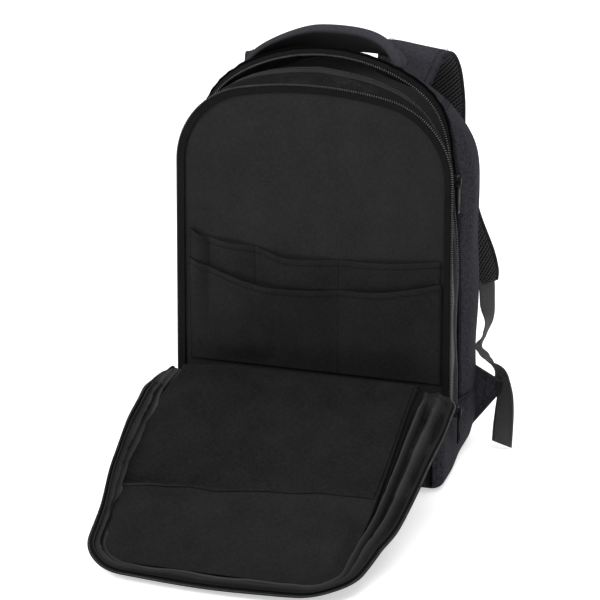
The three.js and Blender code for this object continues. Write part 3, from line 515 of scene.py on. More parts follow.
def front_gusset_edge(stations, y):
    """How far the front gusset stands outside the front arch at depths."""
    share = np.clip(y / FRONT_GUSSET_DEPTH, 0, 1)
    return ridge_rise(stations.share)[:, None] * (1.4 * share - 0.4 * share ** 2)[None, :]


def rear_edge(stations):
    """Depth and outward distance of the rear gusset's front edge."""
    drawn_in = REAR_ARCH["half"] - FRONT_ARCH["half"] - ridge_rise(stations.share)
    tuck = drawn_in * (1 - stations.open) + REAR_TOP_TUCK * stations.open
    return REAR_GUSSET_FRONT + REAR_EDGE_OPENED * stations.open, -tuck


def rear_run(stations, count):
    """Depth and outward distance of the rear gusset from its front edge to the back, equally spaced."""
    edge_y, edge_out = rear_edge(stations)
    ys, outs = [], []
    for first_y, first_out, opened in zip(edge_y, edge_out, stations.open):
        falls = np.asarray(REAR_SECTION["out"]) - np.asarray(REAR_SECTION["fall"]) * opened
        table = {"y": np.r_[first_y, REAR_SECTION["y"]], "out": np.r_[first_out, falls]}
        dense = np.linspace(first_y, REAR_SECTION["y"][-1], 160)
        run = spaced(np.stack([dense, read(table, "y", "out", dense)], 1), count)
        ys.append(run[:, 0])
        outs.append(run[:, 1])
    return np.array(ys), np.array(outs)


# Front panel and the opened cover

PROFILE_LINE = catmull(FRONT_PROFILE, np.linspace(0, 1, 1200))
PROFILE_ALONG = lengths(PROFILE_LINE)
PROFILE_LENGTH = PROFILE_ALONG[-1]
PROFILE_WAY = tangents(PROFILE_LINE)


def panel_frame(along):
    """Place and direction of the front panel's middle line in side view."""
    place = np.stack([np.interp(along, PROFILE_ALONG, PROFILE_LINE[:, k]) for k in range(2)], -1)
    way = unit(np.stack([np.interp(along, PROFILE_ALONG, PROFILE_WAY[:, k]) for k in range(2)], -1))
    return place, way


def on_panel(x, along, lift):
    """Points on the front panel: across, along its profile, and lifted to its inside, in metres."""
    x, along, lift = np.broadcast_arrays(*(np.asarray(value, float) for value in (x, along, lift)))
    place, way = panel_frame(along)
    drift = read(FRONT_WIDTH, "along", "drift", along)
    y = place[..., 0] + way[..., 1] * lift
    sag = 5 * smooth(-x, 60, 120) * smooth(along, 72, 100) * smooth(along, 165, 118)
    z = place[..., 1] - way[..., 0] * lift - sag
    return np.stack([x + drift, y, z], -1) * MM


def cover_half(along):
    """Half width of the front panel, with its far corners rounded."""
    past = np.clip(np.asarray(along, float) - (PROFILE_LENGTH - FAR_CORNER), 0, FAR_CORNER)
    return read(FRONT_WIDTH, "along", "half", along) - (FAR_CORNER - np.sqrt(FAR_CORNER ** 2 - past ** 2))


def panel_rows(low, high, count):
    """Lengths along the panel, closer together where its far corners are rounded."""
    even = np.linspace(low, high, count)
    turn = np.arcsin(np.clip((high - PROFILE_LENGTH + FAR_CORNER) / FAR_CORNER, 0, 1))
    round_end = PROFILE_LENGTH - FAR_CORNER + FAR_CORNER * np.sin(np.linspace(0, turn, 16))
    return np.unique(np.r_[even[even < PROFILE_LENGTH - FAR_CORNER - 1], round_end])


class CoverWall:
    """Stations round the cover's edge, from the left zip end past the far end to the right zip end."""

    def __init__(self, count):
        rows = panel_rows(COVER_WALL_FROM, PROFILE_LENGTH, 260)
        half = cover_half(rows)
        edge = np.vstack([np.stack([-half, rows], 1), np.stack([half, rows], 1)[::-1]])
        line = spaced(edge, count)
        way = unit(line[np.minimum(np.arange(count) + 3, count - 1)] - line[np.maximum(np.arange(count) - 3, 0)])
        _, ahead = panel_frame(line[:, 1])
        flat = np.zeros((count, 1))
        self.normal = np.stack([flat[:, 0], ahead[:, 1], -ahead[:, 0]], 1)
        self.outward = way[:, :1] * np.hstack([flat, ahead])
        self.outward[:, 0] -= way[:, 1]
        self.root = on_panel(line[:, 0], line[:, 1], -PANEL_HALF) + self.outward * COVER_WALL_GAP * MM
        self.share = np.linspace(0, 1, count)
        self.out = read(COVER_RIM, "share", "out", self.share)
        self.up = read(COVER_RIM, "share", "up", self.share)
        self.size = np.hypot(self.out, self.up)
        self.cloth = (self.size - ZIP_WIDTH - COVER_ZIP_GAP) / self.size
        self.along = lengths(line)

    def place(self, reach, rise):
        """Points at shares of the way to the rim, raised off the straight wall to its inside, in metres."""
        out = self.out[:, None] * reach - (self.up / self.size)[:, None] * rise
        up = self.up[:, None] * reach + (self.out / self.size)[:, None] * rise
        return (self.root[:, None] + (self.outward[:, None] * out[..., None]
                                      + self.normal[:, None] * up[..., None]) * MM)


# Straps and webbing


def path_frames(rows, columns, side, count):
    """Points along a strap's path with its direction, and the table's other columns there."""
    table = np.asarray(rows, float) * [side, 1, 1, 1, 1]
    share = np.linspace(0, 1, count)
    steps = {"share": np.linspace(0, 1, len(table))}
    steps.update({name: table[:, k] for k, name in enumerate(columns)})
    line = catmull(table[:, :3], share)
    near = catmull(table[:, :3], np.clip(share + 1e-4, 0, 1)) - catmull(table[:, :3], np.clip(share - 1e-4, 0, 1))
    return line, unit(near), {name: read(steps, "share", name, share) for name in columns[3:]}


def square_to(vectors, along):
    return unit(vectors - along * (vectors * along).sum(1, keepdims=True))


def strap_frames(side_name, count):
    """Middle, way across and way out of a shoulder strap, with its width."""
    side = SIDES[side_name]
    line, along, columns = path_frames(STRAPS[side_name], STRAP_COLUMNS, side, count)
    bank = np.radians(columns["bank"])
    level = np.stack([side * np.cos(bank), 0 * bank, -np.sin(bank)], 1)
    across = square_to(level, along)
    return line, across, np.cross(across, along) * side, columns["width"]


def webbing_frames(side_name, count):
    """Middle, direction, way across and way out of a webbing, with its layers."""
    side = SIDES[side_name]
    line, along, columns = path_frames(WEBBINGS[side_name], WEBBING_COLUMNS, side, count)
    turn = np.radians(columns["turn"])
    across = square_to(np.stack([side * np.cos(turn), np.sin(turn), 0 * turn], 1), along)
    return line, along, across, np.cross(across, along), columns["layers"]


def handle_width(count):
    """Width along the handle, widest in the middle."""
    return HANDLE["end"] + (HANDLE["width"] - HANDLE["end"]) * np.sin(np.linspace(0, math.pi, count)) ** 0.8


def handle_thick(count):
    """Thickness along the handle, pressed flat on the left leg."""
    left = smooth(np.cos(np.linspace(0, math.pi, count)), 0.1, 0.9)
    return HANDLE["thick"] * (1 - left) + HANDLE["left_thick"] * left


def handle_frames(count):
    """Middle, way across and way out of the handle from its left root to its right one."""
    angle = np.linspace(0, math.pi, count)
    tilt = math.radians(HANDLE["lean"]) * np.sin(angle)
    up = np.stack([0 * tilt, np.sin(tilt), np.cos(tilt)], 1)
    across = np.stack([0 * tilt, np.cos(tilt), -np.sin(tilt)], 1)
    left = smooth(np.cos(angle), 0.3, 1)
    x = -HANDLE["span"] * np.cos(angle) - HANDLE["flare"] * left
    middle = np.stack([x, 0 * angle + HANDLE["y"], HANDLE["z"] - HANDLE["droop"] * left], 1)
    middle = middle + up * (HANDLE["rise"] * np.sin(angle) ** 1.3)[:, None]
    along = up * (HANDLE["rise"] * np.cos(angle))[:, None]
    along[:, 0] += HANDLE["span"] * np.sin(angle)
    along = unit(along)
    middle = middle + across * (HANDLE["set_back"] * np.sin(angle))[:, None]
    return middle, across, np.cross(along, across)


# Meshes and pieces


def grid_mesh(name, points, closed=False, flip=False, tone=0.0, slots=None):
    """A mesh of quads through rows of points, with a UV map in metres and an attribute of painted light and shade."""
    rows, cols = points.shape[:2]
    index = np.arange(rows * cols).reshape(rows, cols)
    if closed:
        index = np.hstack([index, index[:, :1]])
        around = np.concatenate([points, points[:, :1]], axis=1)
    else:
        around = points
    u = np.r_[0, np.cumsum(np.linalg.norm(np.diff(around, axis=0), axis=2).mean(1))]
    v = np.r_[0, np.cumsum(np.linalg.norm(np.diff(around, axis=1), axis=2).mean(0))]
    uv = np.stack(np.meshgrid(u, v, indexing="ij"), -1)
    corners = [(slice(0, -1), slice(0, -1)), (slice(0, -1), slice(1, None)),
               (slice(1, None), slice(1, None)), (slice(1, None), slice(0, -1))]
    if flip:
        corners = corners[::-1]
    quads = np.stack([index[c] for c in corners], -1).reshape(-1, 4)
    corner_uv = np.stack([uv[c] for c in corners], -2).reshape(-1, 2)
    mesh = bpy.data.meshes.new(name)
    mesh.from_pydata(points.reshape(-1, 3).tolist(), [], quads.tolist())
    mesh.uv_layers.new(name=UV_NAME).data.foreach_set("uv", corner_uv.astype(np.float32).ravel())
    values = np.broadcast_to(tone, (rows, cols)).ravel()
    mesh.attributes.new(PAINTED_LIGHT, "FLOAT", "POINT").data.foreach_set("value", values.astype(np.float32))
    if slots is not None:
        faces = np.broadcast_to(slots, (index.shape[0] - 1, index.shape[1] - 1)).ravel()
        mesh.polygons.foreach_set("material_index", faces.astype(np.int32))
    mesh.shade_smooth()
    return mesh


def new_object(name, mesh, *materials):
    piece = bpy.data.objects.new(name, mesh)
    for material in materials:
        mesh.materials.append(material)
    bpy.context.scene.collection.objects.link(piece)
    return piece


def settle(piece):
    """Replaces a piece's mesh by the one that its modifiers make, and takes them off."""
    graph = bpy.context.evaluated_depsgraph_get()
    made = bpy.data.meshes.new_from_object(piece.evaluated_get(graph), preserve_all_data_layers=True, depsgraph=graph)
    piece.modifiers.clear()
    old = piece.data
    piece.data = made
    bpy.data.meshes.remove(old)
    made.name = piece.name
    made.shade_smooth()


def soften(piece):
    """Rounds a piece off by one step of subdivision."""
    soft = piece.modifiers.new("soft", "SUBSURF")
    soft.levels = soft.render_levels = 1
    settle(piece)


def thicken(piece, thickness, inside=False, offset=-1.0):
    """Gives a sheet its thickness, the second material on its other face, and soft edges."""
    cloth = piece.modifiers.new("cloth", "SOLIDIFY")
    cloth.thickness = thickness
    cloth.offset = offset
    cloth.material_offset = cloth.material_offset_rim = 1 if inside else 0
    soften(piece)


def belongs(piece, slot, *nodes):
    """Rides a piece on the bag and hides the nodes whose place it takes; the slot is not used."""
    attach(piece, BODY)
    if nodes:
        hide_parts(*nodes)


def sheet_area(points):
    """Area of a cloth grid."""
    a, b = points[1:, 1:] - points[:-1, :-1], points[1:, :-1] - points[:-1, 1:]
    return float(np.linalg.norm(np.cross(a, b), axis=2).sum() / 2)


def cut_of(points):
    """Flat size of a cloth grid: the longest of its rows and columns, and its area."""
    down = np.linalg.norm(np.diff(points, axis=0), axis=2).sum(0).max()
    over = np.linalg.norm(np.diff(points, axis=1), axis=2).sum(1).max()
    return (float(over), float(down)), min(sheet_area(points), float(over * down))


def declare_sheet(points):
    """Works out the flat size and the area of the cut of a piece of cloth, which nothing then uses."""
    flat, area = cut_of(points)


def tube_grid(line, radius, sides=10):
    """Rings round a line, carried along it without twisting."""
    along = tangents(line)
    side = np.cross(along[0], [0.0, 0.0, 1.0])
    if np.linalg.norm(side) < 0.2:
        side = np.cross(along[0], [0.0, 1.0, 0.0])
    angle = np.linspace(0, math.tau, sides, endpoint=False)
    rings = []
    for place, way in zip(line, along):
        side = side - way * (side @ way)
        side = side / np.linalg.norm(side)
        other = np.cross(way, side)
        rings.append(place + radius * (np.cos(angle)[:, None] * side + np.sin(angle)[:, None] * other))
    ends = [np.repeat(line[:1], sides, 0), np.repeat(line[-1:], sides, 0)]
    narrow = [0.7 * rings[0] + 0.3 * ends[0], 0.7 * rings[-1] + 0.3 * ends[1]]
    return np.array([ends[0], narrow[0], *rings, narrow[1], ends[1]])


def merge_doubles(piece):
    weld = piece.modifiers.new("weld", "WELD")
    weld.merge_threshold = 1e-6
    settle(piece)


def add_tube(name, line, radius, material, sides=10):
    piece = new_object(name, grid_mesh(name, tube_grid(line, radius, sides), closed=True), material)
    merge_doubles(piece)
    return piece


def open_front(piece, front, lip_ring):
    """Takes the faces of the front panel's place out of the base's wall."""
    mesh = piece.data
    rings = len(mesh.vertices) // len(front)
    work = bmesh.new()
    work.from_mesh(mesh)
    taken = [face for face in work.faces
             if all(front[v.index // rings] and v.index % rings <= lip_ring for v in face.verts)]
    bmesh.ops.delete(work, geom=taken, context="FACES")
    work.to_mesh(mesh)
    work.free()


# Repeated small pieces along paths


def bead_tree():
    """Node tree that strings small rounded pieces along the paths it is given, facing as the paths say."""
    name = "beads_along_path"
    if name in bpy.data.node_groups:
        return bpy.data.node_groups[name]
    tree = bpy.data.node_groups.new(name, "GeometryNodeTree")
    sockets = tree.interface
    sockets.new_socket("Paths", in_out="INPUT", socket_type="NodeSocketGeometry")
    for label, default in (("Pitch", 0.002), ("Along", 0.0015), ("Across", 0.0015), ("High", 0.0015)):
        socket = sockets.new_socket(label, in_out="INPUT", socket_type="NodeSocketFloat")
        socket.subtype = "DISTANCE"
        socket.default_value = default
    sockets.new_socket("Material", in_out="INPUT", socket_type="NodeSocketMaterial")
    sockets.new_socket("Beads", in_out="OUTPUT", socket_type="NodeSocketGeometry")
    nodes, links = tree.nodes, tree.links
    given, made = nodes.new("NodeGroupInput"), nodes.new("NodeGroupOutput")
    curve = nodes.new("GeometryNodeMeshToCurve")
    spread = nodes.new("GeometryNodeResampleCurve")
    spread.mode = "LENGTH"
    bead = nodes.new("GeometryNodeMeshUVSphere")
    bead.inputs["Segments"].default_value = 8
    bead.inputs["Rings"].default_value = 5
    bead.inputs["Radius"].default_value = 0.5
    facing = nodes.new("GeometryNodeInputNamedAttribute")
    facing.data_type = "FLOAT_VECTOR"
    facing.inputs["Name"].default_value = "facing"
    tangent = nodes.new("GeometryNodeInputTangent")
    stand = nodes.new("FunctionNodeAlignRotationToVector")
    stand.axis = "Z"
    turn = nodes.new("FunctionNodeAlignRotationToVector")
    turn.axis, turn.pivot_axis = "X", "Z"
    size = nodes.new("ShaderNodeCombineXYZ")
    vary = nodes.new("FunctionNodeRandomValue")
    vary.data_type = "FLOAT"
    vary.inputs[2].default_value, vary.inputs[3].default_value = 0.94, 1.06
    vary.inputs["Seed"].default_value = 7
    scaled = nodes.new("ShaderNodeVectorMath")
    scaled.operation = "SCALE"
    place = nodes.new("GeometryNodeInstanceOnPoints")
    real = nodes.new("GeometryNodeRealizeInstances")
    paint = nodes.new("GeometryNodeSetMaterial")
    joints = [
        (given.outputs["Paths"], curve.inputs["Mesh"]),
        (curve.outputs["Curve"], spread.inputs["Curve"]),
        (given.outputs["Pitch"], spread.inputs["Length"]),
        (facing.outputs["Attribute"], stand.inputs["Vector"]),
        (stand.outputs["Rotation"], turn.inputs["Rotation"]),
        (tangent.outputs["Tangent"], turn.inputs["Vector"]),
        (size.outputs["Vector"], scaled.inputs[0]),
        (vary.outputs[1], scaled.inputs["Scale"]),
        (spread.outputs["Curve"], place.inputs["Points"]),
        (bead.outputs["Mesh"], place.inputs["Instance"]),
        (turn.outputs["Rotation"], place.inputs["Rotation"]),
        (scaled.outputs["Vector"], place.inputs["Scale"]),
        (place.outputs["Instances"], real.inputs["Geometry"]),
        (real.outputs["Geometry"], paint.inputs["Geometry"]),
        (given.outputs["Material"], paint.inputs["Material"]),
        (paint.outputs["Geometry"], made.inputs["Beads"]),
    ]
    joints += [(given.outputs[label], size.inputs[axis]) for axis, label in zip("XYZ", ("Along", "Across", "High"))]
    for source, target in joints:
        links.new(source, target)
    return tree


def add_beads(name, paths, pitch, along, across, high, material):
    """Small pieces along paths, each path an array of points and one of the ways they face."""
    points, edges, facing = [], [], []
    for line, faces in paths:
        start = len(points)
        points.extend(line.tolist())
        facing.extend(unit(np.broadcast_to(faces, line.shape)).tolist())
        edges.extend((start + k, start + k + 1) for k in range(len(line) - 1))
    mesh = bpy.data.meshes.new(name)
    mesh.from_pydata(points, edges, [])
    mesh.attributes.new("facing", "FLOAT_VECTOR", "POINT").data.foreach_set(
        "vector", np.asarray(facing, np.float32).ravel())
    piece = new_object(name, mesh)
    beads = piece.modifiers.new("beads", "NODES")
    beads.node_group = bead_tree()
    values = {"Pitch": pitch, "Along": along, "Across": across, "High": high, "Material": material}
    for item in beads.node_group.interface.items_tree:
        if item.item_type == "SOCKET" and item.in_out == "INPUT" and item.name in values:
            beads[item.identifier] = values[item.name]
    settle(piece)
    return piece


def add_stitches(name, paths, slot):
    """A row of stitches along each path."""
    size = sizes()
    piece = add_beads(name, paths, size.stitch_pitch, size.stitch_length, size.thread, size.thread, finish("thread"))
    belongs(piece, slot)


def raised(points, normals, height):
    """Points lifted along their normals by millimetres."""
    return points + normals * height * MM


# Padding


def puff(piece, firm, pressure, travel):
    """Fills a closed cover by a cloth simulation that holds its sewn points, and caps how far it moves."""
    start = np.zeros(len(piece.data.vertices) * 3)
    piece.data.vertices.foreach_get("co", start)
    start = start.reshape(-1, 3)
    group = piece.vertex_groups.new(name="sewn")
    group.add(np.flatnonzero(firm).tolist(), 1.0, "REPLACE")
    modifier = piece.modifiers.new("padding", "CLOTH")
    cloth = modifier.settings
    cloth.vertex_group_mass = "sewn"
    cloth.use_pressure = True
    cloth.uniform_pressure_force = pressure
    cloth.effector_weights.gravity = 0.0
    cloth.quality = 5
    cloth.mass = 0.25
    cloth.tension_stiffness = cloth.compression_stiffness = 20.0
    cloth.shear_stiffness = 12.0
    cloth.bending_stiffness = 1.5
    modifier.collision_settings.use_collision = False
    scene = bpy.context.scene
    scene.frame_start, scene.frame_end = 1, PUFF_FRAMES
    modifier.point_cache.frame_start, modifier.point_cache.frame_end = 1, PUFF_FRAMES
    for number in range(1, PUFF_FRAMES + 1):
        scene.frame_set(number)
    graph = bpy.context.evaluated_depsgraph_get()
    moved = np.zeros(len(start) * 3)
    piece.evaluated_get(graph).data.vertices.foreach_get("co", moved)
    shift = moved.reshape(-1, 3) - start
    far = np.linalg.norm(shift, axis=1, keepdims=True)
    shift *= np.minimum(1.0, travel / np.maximum(far, 1e-9))
    piece.modifiers.clear()
    piece.vertex_groups.clear()
    scene.frame_set(1)
    piece.data.vertices.foreach_set("co", (start + shift).ravel())
    piece.data.update()


def closed_bag(name, points, slots=None, tone=0.0):
    """A closed mesh of rings along a piece, its two ends sewn flat."""
    mesh = grid_mesh(name, points, closed=True, slots=slots, tone=tone)
    rings, count = points.shape[:2]
    work = bmesh.new()
    work.from_mesh(mesh)
    work.verts.ensure_lookup_table()
    for start in (0, (rings - 1) * count):
        for k in range(count // 2 - 1):
            corners = [start + k, start + k + 1, start + count - 2 - k, start + count - 1 - k]
            if start == 0:
                corners.reverse()
            work.faces.new([work.verts[c] for c in corners])
    bmesh.ops.recalc_face_normals(work, faces=work.faces)
    work.to_mesh(mesh)
    work.free()
    mesh.shade_smooth()
    return mesh


def padded_section(width, thick, count, edge):
    """Half rings of a padded strip: places across, and half the thickness there."""
    part = np.linspace(-1, 1, count)
    swell = edge + (1 - edge) * (1 - np.abs(part) ** 3.2)
    return part * width / 2, swell * thick / 2


def padded_strip(middle, across, out, width, thick, count, edge):
    """Rings round a padded strip, its outer face first and then its inner one."""
    rings = []
    wide, deep = np.broadcast_to(width, len(middle)), np.broadcast_to(thick, len(middle))
    for k, (place, side, way) in enumerate(zip(middle, across, out)):
        u, half = padded_section(wide[k], deep[k], count, edge)
        outer = place + u[:, None] * side + half[:, None] * way
        inner = place + u[::-1, None] * side - half[::-1, None] * way
        rings.append(np.vstack([outer, inner]))
    return np.array(rings) * MM


def padded_piece(name, points, count, sewn_rings, tone, inner, travel):
    """A padded strip, navy outside and another finish inside, that its edges and ends hold while it is filled."""
    slots = np.zeros(2 * count, int)
    slots[count:2 * count - 1] = 1
    piece = new_object(name, closed_bag(name, points, slots[None, :], tone), finish("navy"), finish(inner))
    firm = np.zeros(points.shape[:2])
    firm[:, [0, count - 1, count, 2 * count - 1]] = 1.0
    firm[:sewn_rings], firm[-sewn_rings:] = 1.0, 1.0
    puff(piece, firm.ravel(), sizes().pad_pressure, travel * MM)
    soften(piece)
    return piece


# Materials


class Wire:
    """A shader socket that takes part in arithmetic and starts further nodes."""

    def __init__(self, tree, socket=None):
        self.tree = tree
        self.socket = socket

    def node(self, kind, settings=None, inputs=None, output=0):
        made = self.tree.nodes.new(kind)
        for name, value in (settings or {}).items():
            setattr(made, name, value)
        for name, value in (inputs or {}).items():
            if isinstance(value, Wire):
                self.tree.links.new(value.socket, made.inputs[name])
            else:
                made.inputs[name].default_value = value
        return Wire(self.tree, made.outputs[output])

    def math(self, operation, *others):
        inputs = dict(enumerate((self, *others)))
        return self.node("ShaderNodeMath", {"operation": operation}, inputs)

    def __add__(self, other):
        return self.math("ADD", other)

    __radd__ = __add__

    def __sub__(self, other):
        return self.math("SUBTRACT", other)

    def __rsub__(self, other):
        return self.node("ShaderNodeMath", {"operation": "SUBTRACT"}, {0: other, 1: self})

    def __mul__(self, other):
        return self.math("MULTIPLY", other)

    __rmul__ = __mul__

    def __pow__(self, other):
        return self.math("POWER", other)


class Paint:
    """A material under construction: its coordinates, its noises and its shader."""

    def __init__(self, name, own_map=True):
        self.material = bpy.data.materials.new(name)
        self.material.use_nodes = True
        tree = self.material.node_tree
        self.shader = tree.nodes["Principled BSDF"]
        self.base = Wire(tree)
        self.objectwise = self.base.node("ShaderNodeTexCoord", output="Object")
        if own_map:
            self.place = self.base.node("ShaderNodeUVMap", {"uv_map": UV_NAME})
            self.u = self.base.node("ShaderNodeSeparateXYZ", None, {0: self.place}, "X")
            self.v = self.base.node("ShaderNodeSeparateXYZ", None, {0: self.place}, "Y")

    def stretched(self, across, along):
        inputs = {0: self.place, 1: (across, along, 1)}
        return self.base.node("ShaderNodeVectorMath", {"operation": "MULTIPLY"}, inputs)

    def noise(self, scale, detail=2.0, roughness=0.5, place=None):
        inputs = {"Vector": place or self.objectwise, "Scale": scale, "Detail": detail, "Roughness": roughness}
        return self.base.node("ShaderNodeTexNoise", {"noise_dimensions": "3D"}, inputs)

    def wave(self, coordinate, pitch):
        """A wave from 0 to 1 that repeats after a pitch in metres."""
        return (coordinate * (math.tau / pitch)).math("SINE") * 0.5 + 0.5

    # Painted light and shade that each piece carries in its mesh
    def tone(self):
        return self.base.node("ShaderNodeAttribute", {"attribute_name": PAINTED_LIGHT}, output="Fac")

    def mixed(self, factor, dark, light):
        settings = {"data_type": "RGBA", "clamp_factor": True}
        inputs = {0: factor, 6: (*dark, 1.0), 7: (*light, 1.0)}
        return self.base.node("ShaderNodeMix", settings, inputs, 2)

    def finish(self, colour_wire, roughness, height, depth, **constants):
        links = self.base.tree.links
        links.new(colour_wire.socket, self.shader.inputs["Base Color"])
        links.new(roughness.socket, self.shader.inputs["Roughness"])
        bump = self.base.node("ShaderNodeBump", None, {"Height": height, "Strength": 1.0, "Distance": depth})
        links.new(bump.socket, self.shader.inputs["Normal"])
        for name, value in constants.items():
            self.shader.inputs[name.replace("_", " ")].default_value = value
        return self.material


def cloth_paint(name, dark, light, pitch, streak, mottled, depth, twill=0.0, rough=0.78, gloss=0.03):
    """Woven cloth: crossing threads with streaks, soft mottling, lighter ridges, and the painted light and shade of
    each piece.
    """
    paint = Paint(name)
    slant = paint.u + paint.v * twill
    warp, weft = paint.wave(slant, pitch), paint.wave(paint.v, pitch)
    weave = warp * weft + (1 - warp) * (1 - weft) if twill == 0 else warp
    streaks = (paint.noise(1.0, 3.0, place=paint.stretched(690, 205))
               + paint.noise(1.0, 3.0, place=paint.stretched(205, 690))) * 0.5
    mottle = paint.noise(38.0, 4.0, 0.6)
    broad = paint.noise(9.0, 2.0)
    factor = (weave * 0.22 + (streaks - 0.5) * streak + (mottle - 0.5) * mottled + (broad - 0.5) * 0.7 * mottled
              + paint.tone() * 0.5 + 0.36)
    tint = paint.mixed(factor.math("MAXIMUM", 0.0), dark, light)
    rough = (rough + (mottle - 0.5) * 0.2).math("MINIMUM", 1.0)
    height = weave * 0.5 + streaks * 0.5 + mottle * 0.6
    return paint.finish(tint, rough, height, depth, Specular_IOR_Level=gloss)


def mesh_paint(name, dark, light):
    """Spacer mesh: rows of holes between ribs that follow the strap."""
    paint = Paint(name)
    pitch = 0.003
    bias = paint.v * 0.62 - paint.u * 0.78
    run = paint.u * 0.62 + paint.v * 0.78
    along, across = paint.wave(run, pitch * 1.1), paint.wave(bias, pitch)
    shifted = paint.wave(run + pitch * 0.55, pitch * 1.1)
    row = paint.wave(bias, pitch * 2).math("GREATER_THAN", 0.5)
    hole = ((along * row + shifted * (1 - row)) * across).math("GREATER_THAN", 0.3)
    rib = ((1 - across) ** 1.5).math("MAXIMUM", ((1 - along) ** 1.5) * 0.7)
    fuzz = paint.noise(900.0, 2.0)
    factor = (rib * 0.95 + (fuzz - 0.5) * 0.4) * (1 - hole)
    tint = paint.mixed(factor.math("MAXIMUM", 0.0), dark, light)
    rough = 0.8 + (fuzz - 0.5) * 0.3
    height = rib * 0.6 + (1 - hole) * 0.6 + fuzz * 0.2
    return paint.finish(tint, rough, height, 0.0009, Specular_IOR_Level=0.15, Sheen_Weight=0.05)


def rib_paint(name, dark, light, pitch, cross, depth, gloss=0.12):
    """Narrow woven tape: ribs across it with a chevron, and fuzz."""
    paint = Paint(name)
    chevron = (paint.v * (math.tau / cross)).math("SINE").math("ABSOLUTE") * (pitch * 0.8)
    rib = paint.wave(paint.u + chevron, pitch)
    fuzz = paint.noise(700.0, 3.0)
    broad = paint.noise(30.0, 2.0)
    factor = rib * 0.6 + (fuzz - 0.5) * 0.5 + (broad - 0.5) * 0.4 + 0.2 + paint.tone() * 0.4
    tint = paint.mixed(factor.math("MAXIMUM", 0.0), dark, light)
    rough = 0.65 + (fuzz - 0.5) * 0.2
    return paint.finish(tint, rough, rib * 0.8 + fuzz * 0.4, depth, Specular_IOR_Level=gloss)


def hard_paint(name, tint, roughness, scratch, gloss=0.1):
    """Moulded or cast piece with fine scratches and worn spots."""
    paint = Paint(name, own_map=False)
    fine = paint.noise(900.0, 3.0)
    worn = paint.noise(160.0, 4.0, 0.65)
    dark = tuple(value * 0.75 for value in tint)
    light = tuple(min(1.0, value * 1.6) for value in tint)
    colour_wire = paint.mixed((worn - 0.5) * 1.6 + (fine - 0.5) * 0.4 + 0.4, dark, light)
    rough = roughness + (worn - 0.5) * 0.25
    return paint.finish(colour_wire, rough, fine * 0.6 + worn * 0.4, scratch, Specular_IOR_Level=gloss)


def thread_paint(name, tint):
    """Sewing thread with a fine fuzz."""
    paint = Paint(name, own_map=False)
    fuzz = paint.noise(1500.0, 2.0)
    light = tuple(min(1.0, value * 1.7) for value in tint)
    rough = 0.6 + (fuzz - 0.5) * 0.3
    return paint.finish(paint.mixed(fuzz, tint, light), rough, fuzz, 0.0001, Specular_IOR_Level=0.05)


def floor_paint(name, tint):
    """Pale floor that gives off a little light, so that it stays even."""
    paint = Paint(name, own_map=False)
    grain = paint.noise(3.0, 3.0)
    light = tuple(min(1.0, value * 1.03) for value in tint)
    return paint.finish(paint.mixed(grain, tint, light), 0.85 + (grain - 0.5) * 0.1, grain, 0.0002,
                        Specular_IOR_Level=0.1, Emission_Color=(1, 1, 1, 1), Emission_Strength=0.5)


def finish(name):
    """A material by its short name, made once."""
    full = f"backpack_{name}"
    if full in bpy.data.materials:
        return bpy.data.materials[full]
    tint = colours()
    recipes = {
        "navy": lambda: cloth_paint(full, tint.navy, tint.navy_light, 0.0011, 3.2, 0.5, 0.00035),
        "lining": lambda: cloth_paint(full, tint.lining, tint.lining_light, 0.0007, 0.8, 0.32, 0.00022),
        # Lighter lining, painted light inside the main compartment
        "inner": lambda: cloth_paint(full, tint.inner, tint.inner_light, 0.0008, 0.5, 0.3, 0.0003),
        "satin": lambda: cloth_paint(full, tint.lining, tint.satin_light, 0.0007, 0.4, 0.2, 0.0002, rough=0.55,
                                     gloss=0.08),
        "twill": lambda: cloth_paint(full, tint.twill, tint.twill_light, 0.0016, 0.6, 0.4, 0.0003, twill=0.7),
        "tape": lambda: rib_paint(full, tint.tape, tint.tape_light, 0.0012, 0.004, 0.0003, 0.04),
        # Lighter zip tape, painted light on the main zip's front half
        "lit_side_tape": lambda: rib_paint(full, tint.tape, tint.lit_side_tape, 0.0012, 0.004, 0.0003, 0.04),
        # Near-black tape, a painted shadow along the main opening
        "binding": lambda: rib_paint(full, tint.tape, tint.binding, 0.0012, 0.004, 0.0003, 0.01),
        "webbing": lambda: rib_paint(full, tint.webbing, tint.webbing_light, 0.0021, 0.0053, 0.0006),
        "mesh": lambda: mesh_paint(full, tint.mesh, tint.mesh_light),
        "teeth": lambda: hard_paint(full, tint.teeth, 0.3, 0.00005, 0.5),
        # Lighter teeth, painted highlights
        "lit_teeth": lambda: hard_paint(full, tint.lit_teeth, 0.3, 0.00005, 0.5),
        "plastic": lambda: hard_paint(full, tint.plastic, 0.45, 0.00008),
        "metal": lambda: hard_paint(full, tint.metal, 0.46, 0.00004),
        "dull_metal": lambda: hard_paint(full, tint.dull_metal, 0.65, 0.00004, 0.03),
        "thread": lambda: thread_paint(full, tint.thread),
        "floor": lambda: floor_paint(full, tint.floor),
    }
    return recipes[name]()


# Grids of the cloth pieces


def side_wall_grid():
    """Side and top wall: swollen between its seams, and puckered along them."""
    stations = Stations(REAR_ARCH, SIDE_GRID[0])
    y, out = rear_run(stations, SIDE_GRID[1])
    points = stations.place(y, out)
    u, v = np.broadcast_arrays(stations.along[:, None], y)
    held = smooth(v - v[:, :1], 0, 14) * smooth(v[:, -1:] - v, 0, 12)
    swell = waves(u, v, 95, 3) * 0.9 + waves(u * 0.6, v, 45, 5) * 0.3
    pucker = waves(u, v * 0.2, 13, 8) * 0.35 * (1 - held)
    normals = outward_of(points, stations)
    return raised(points, normals, (swell * held + pucker)[..., None]), normals, stations


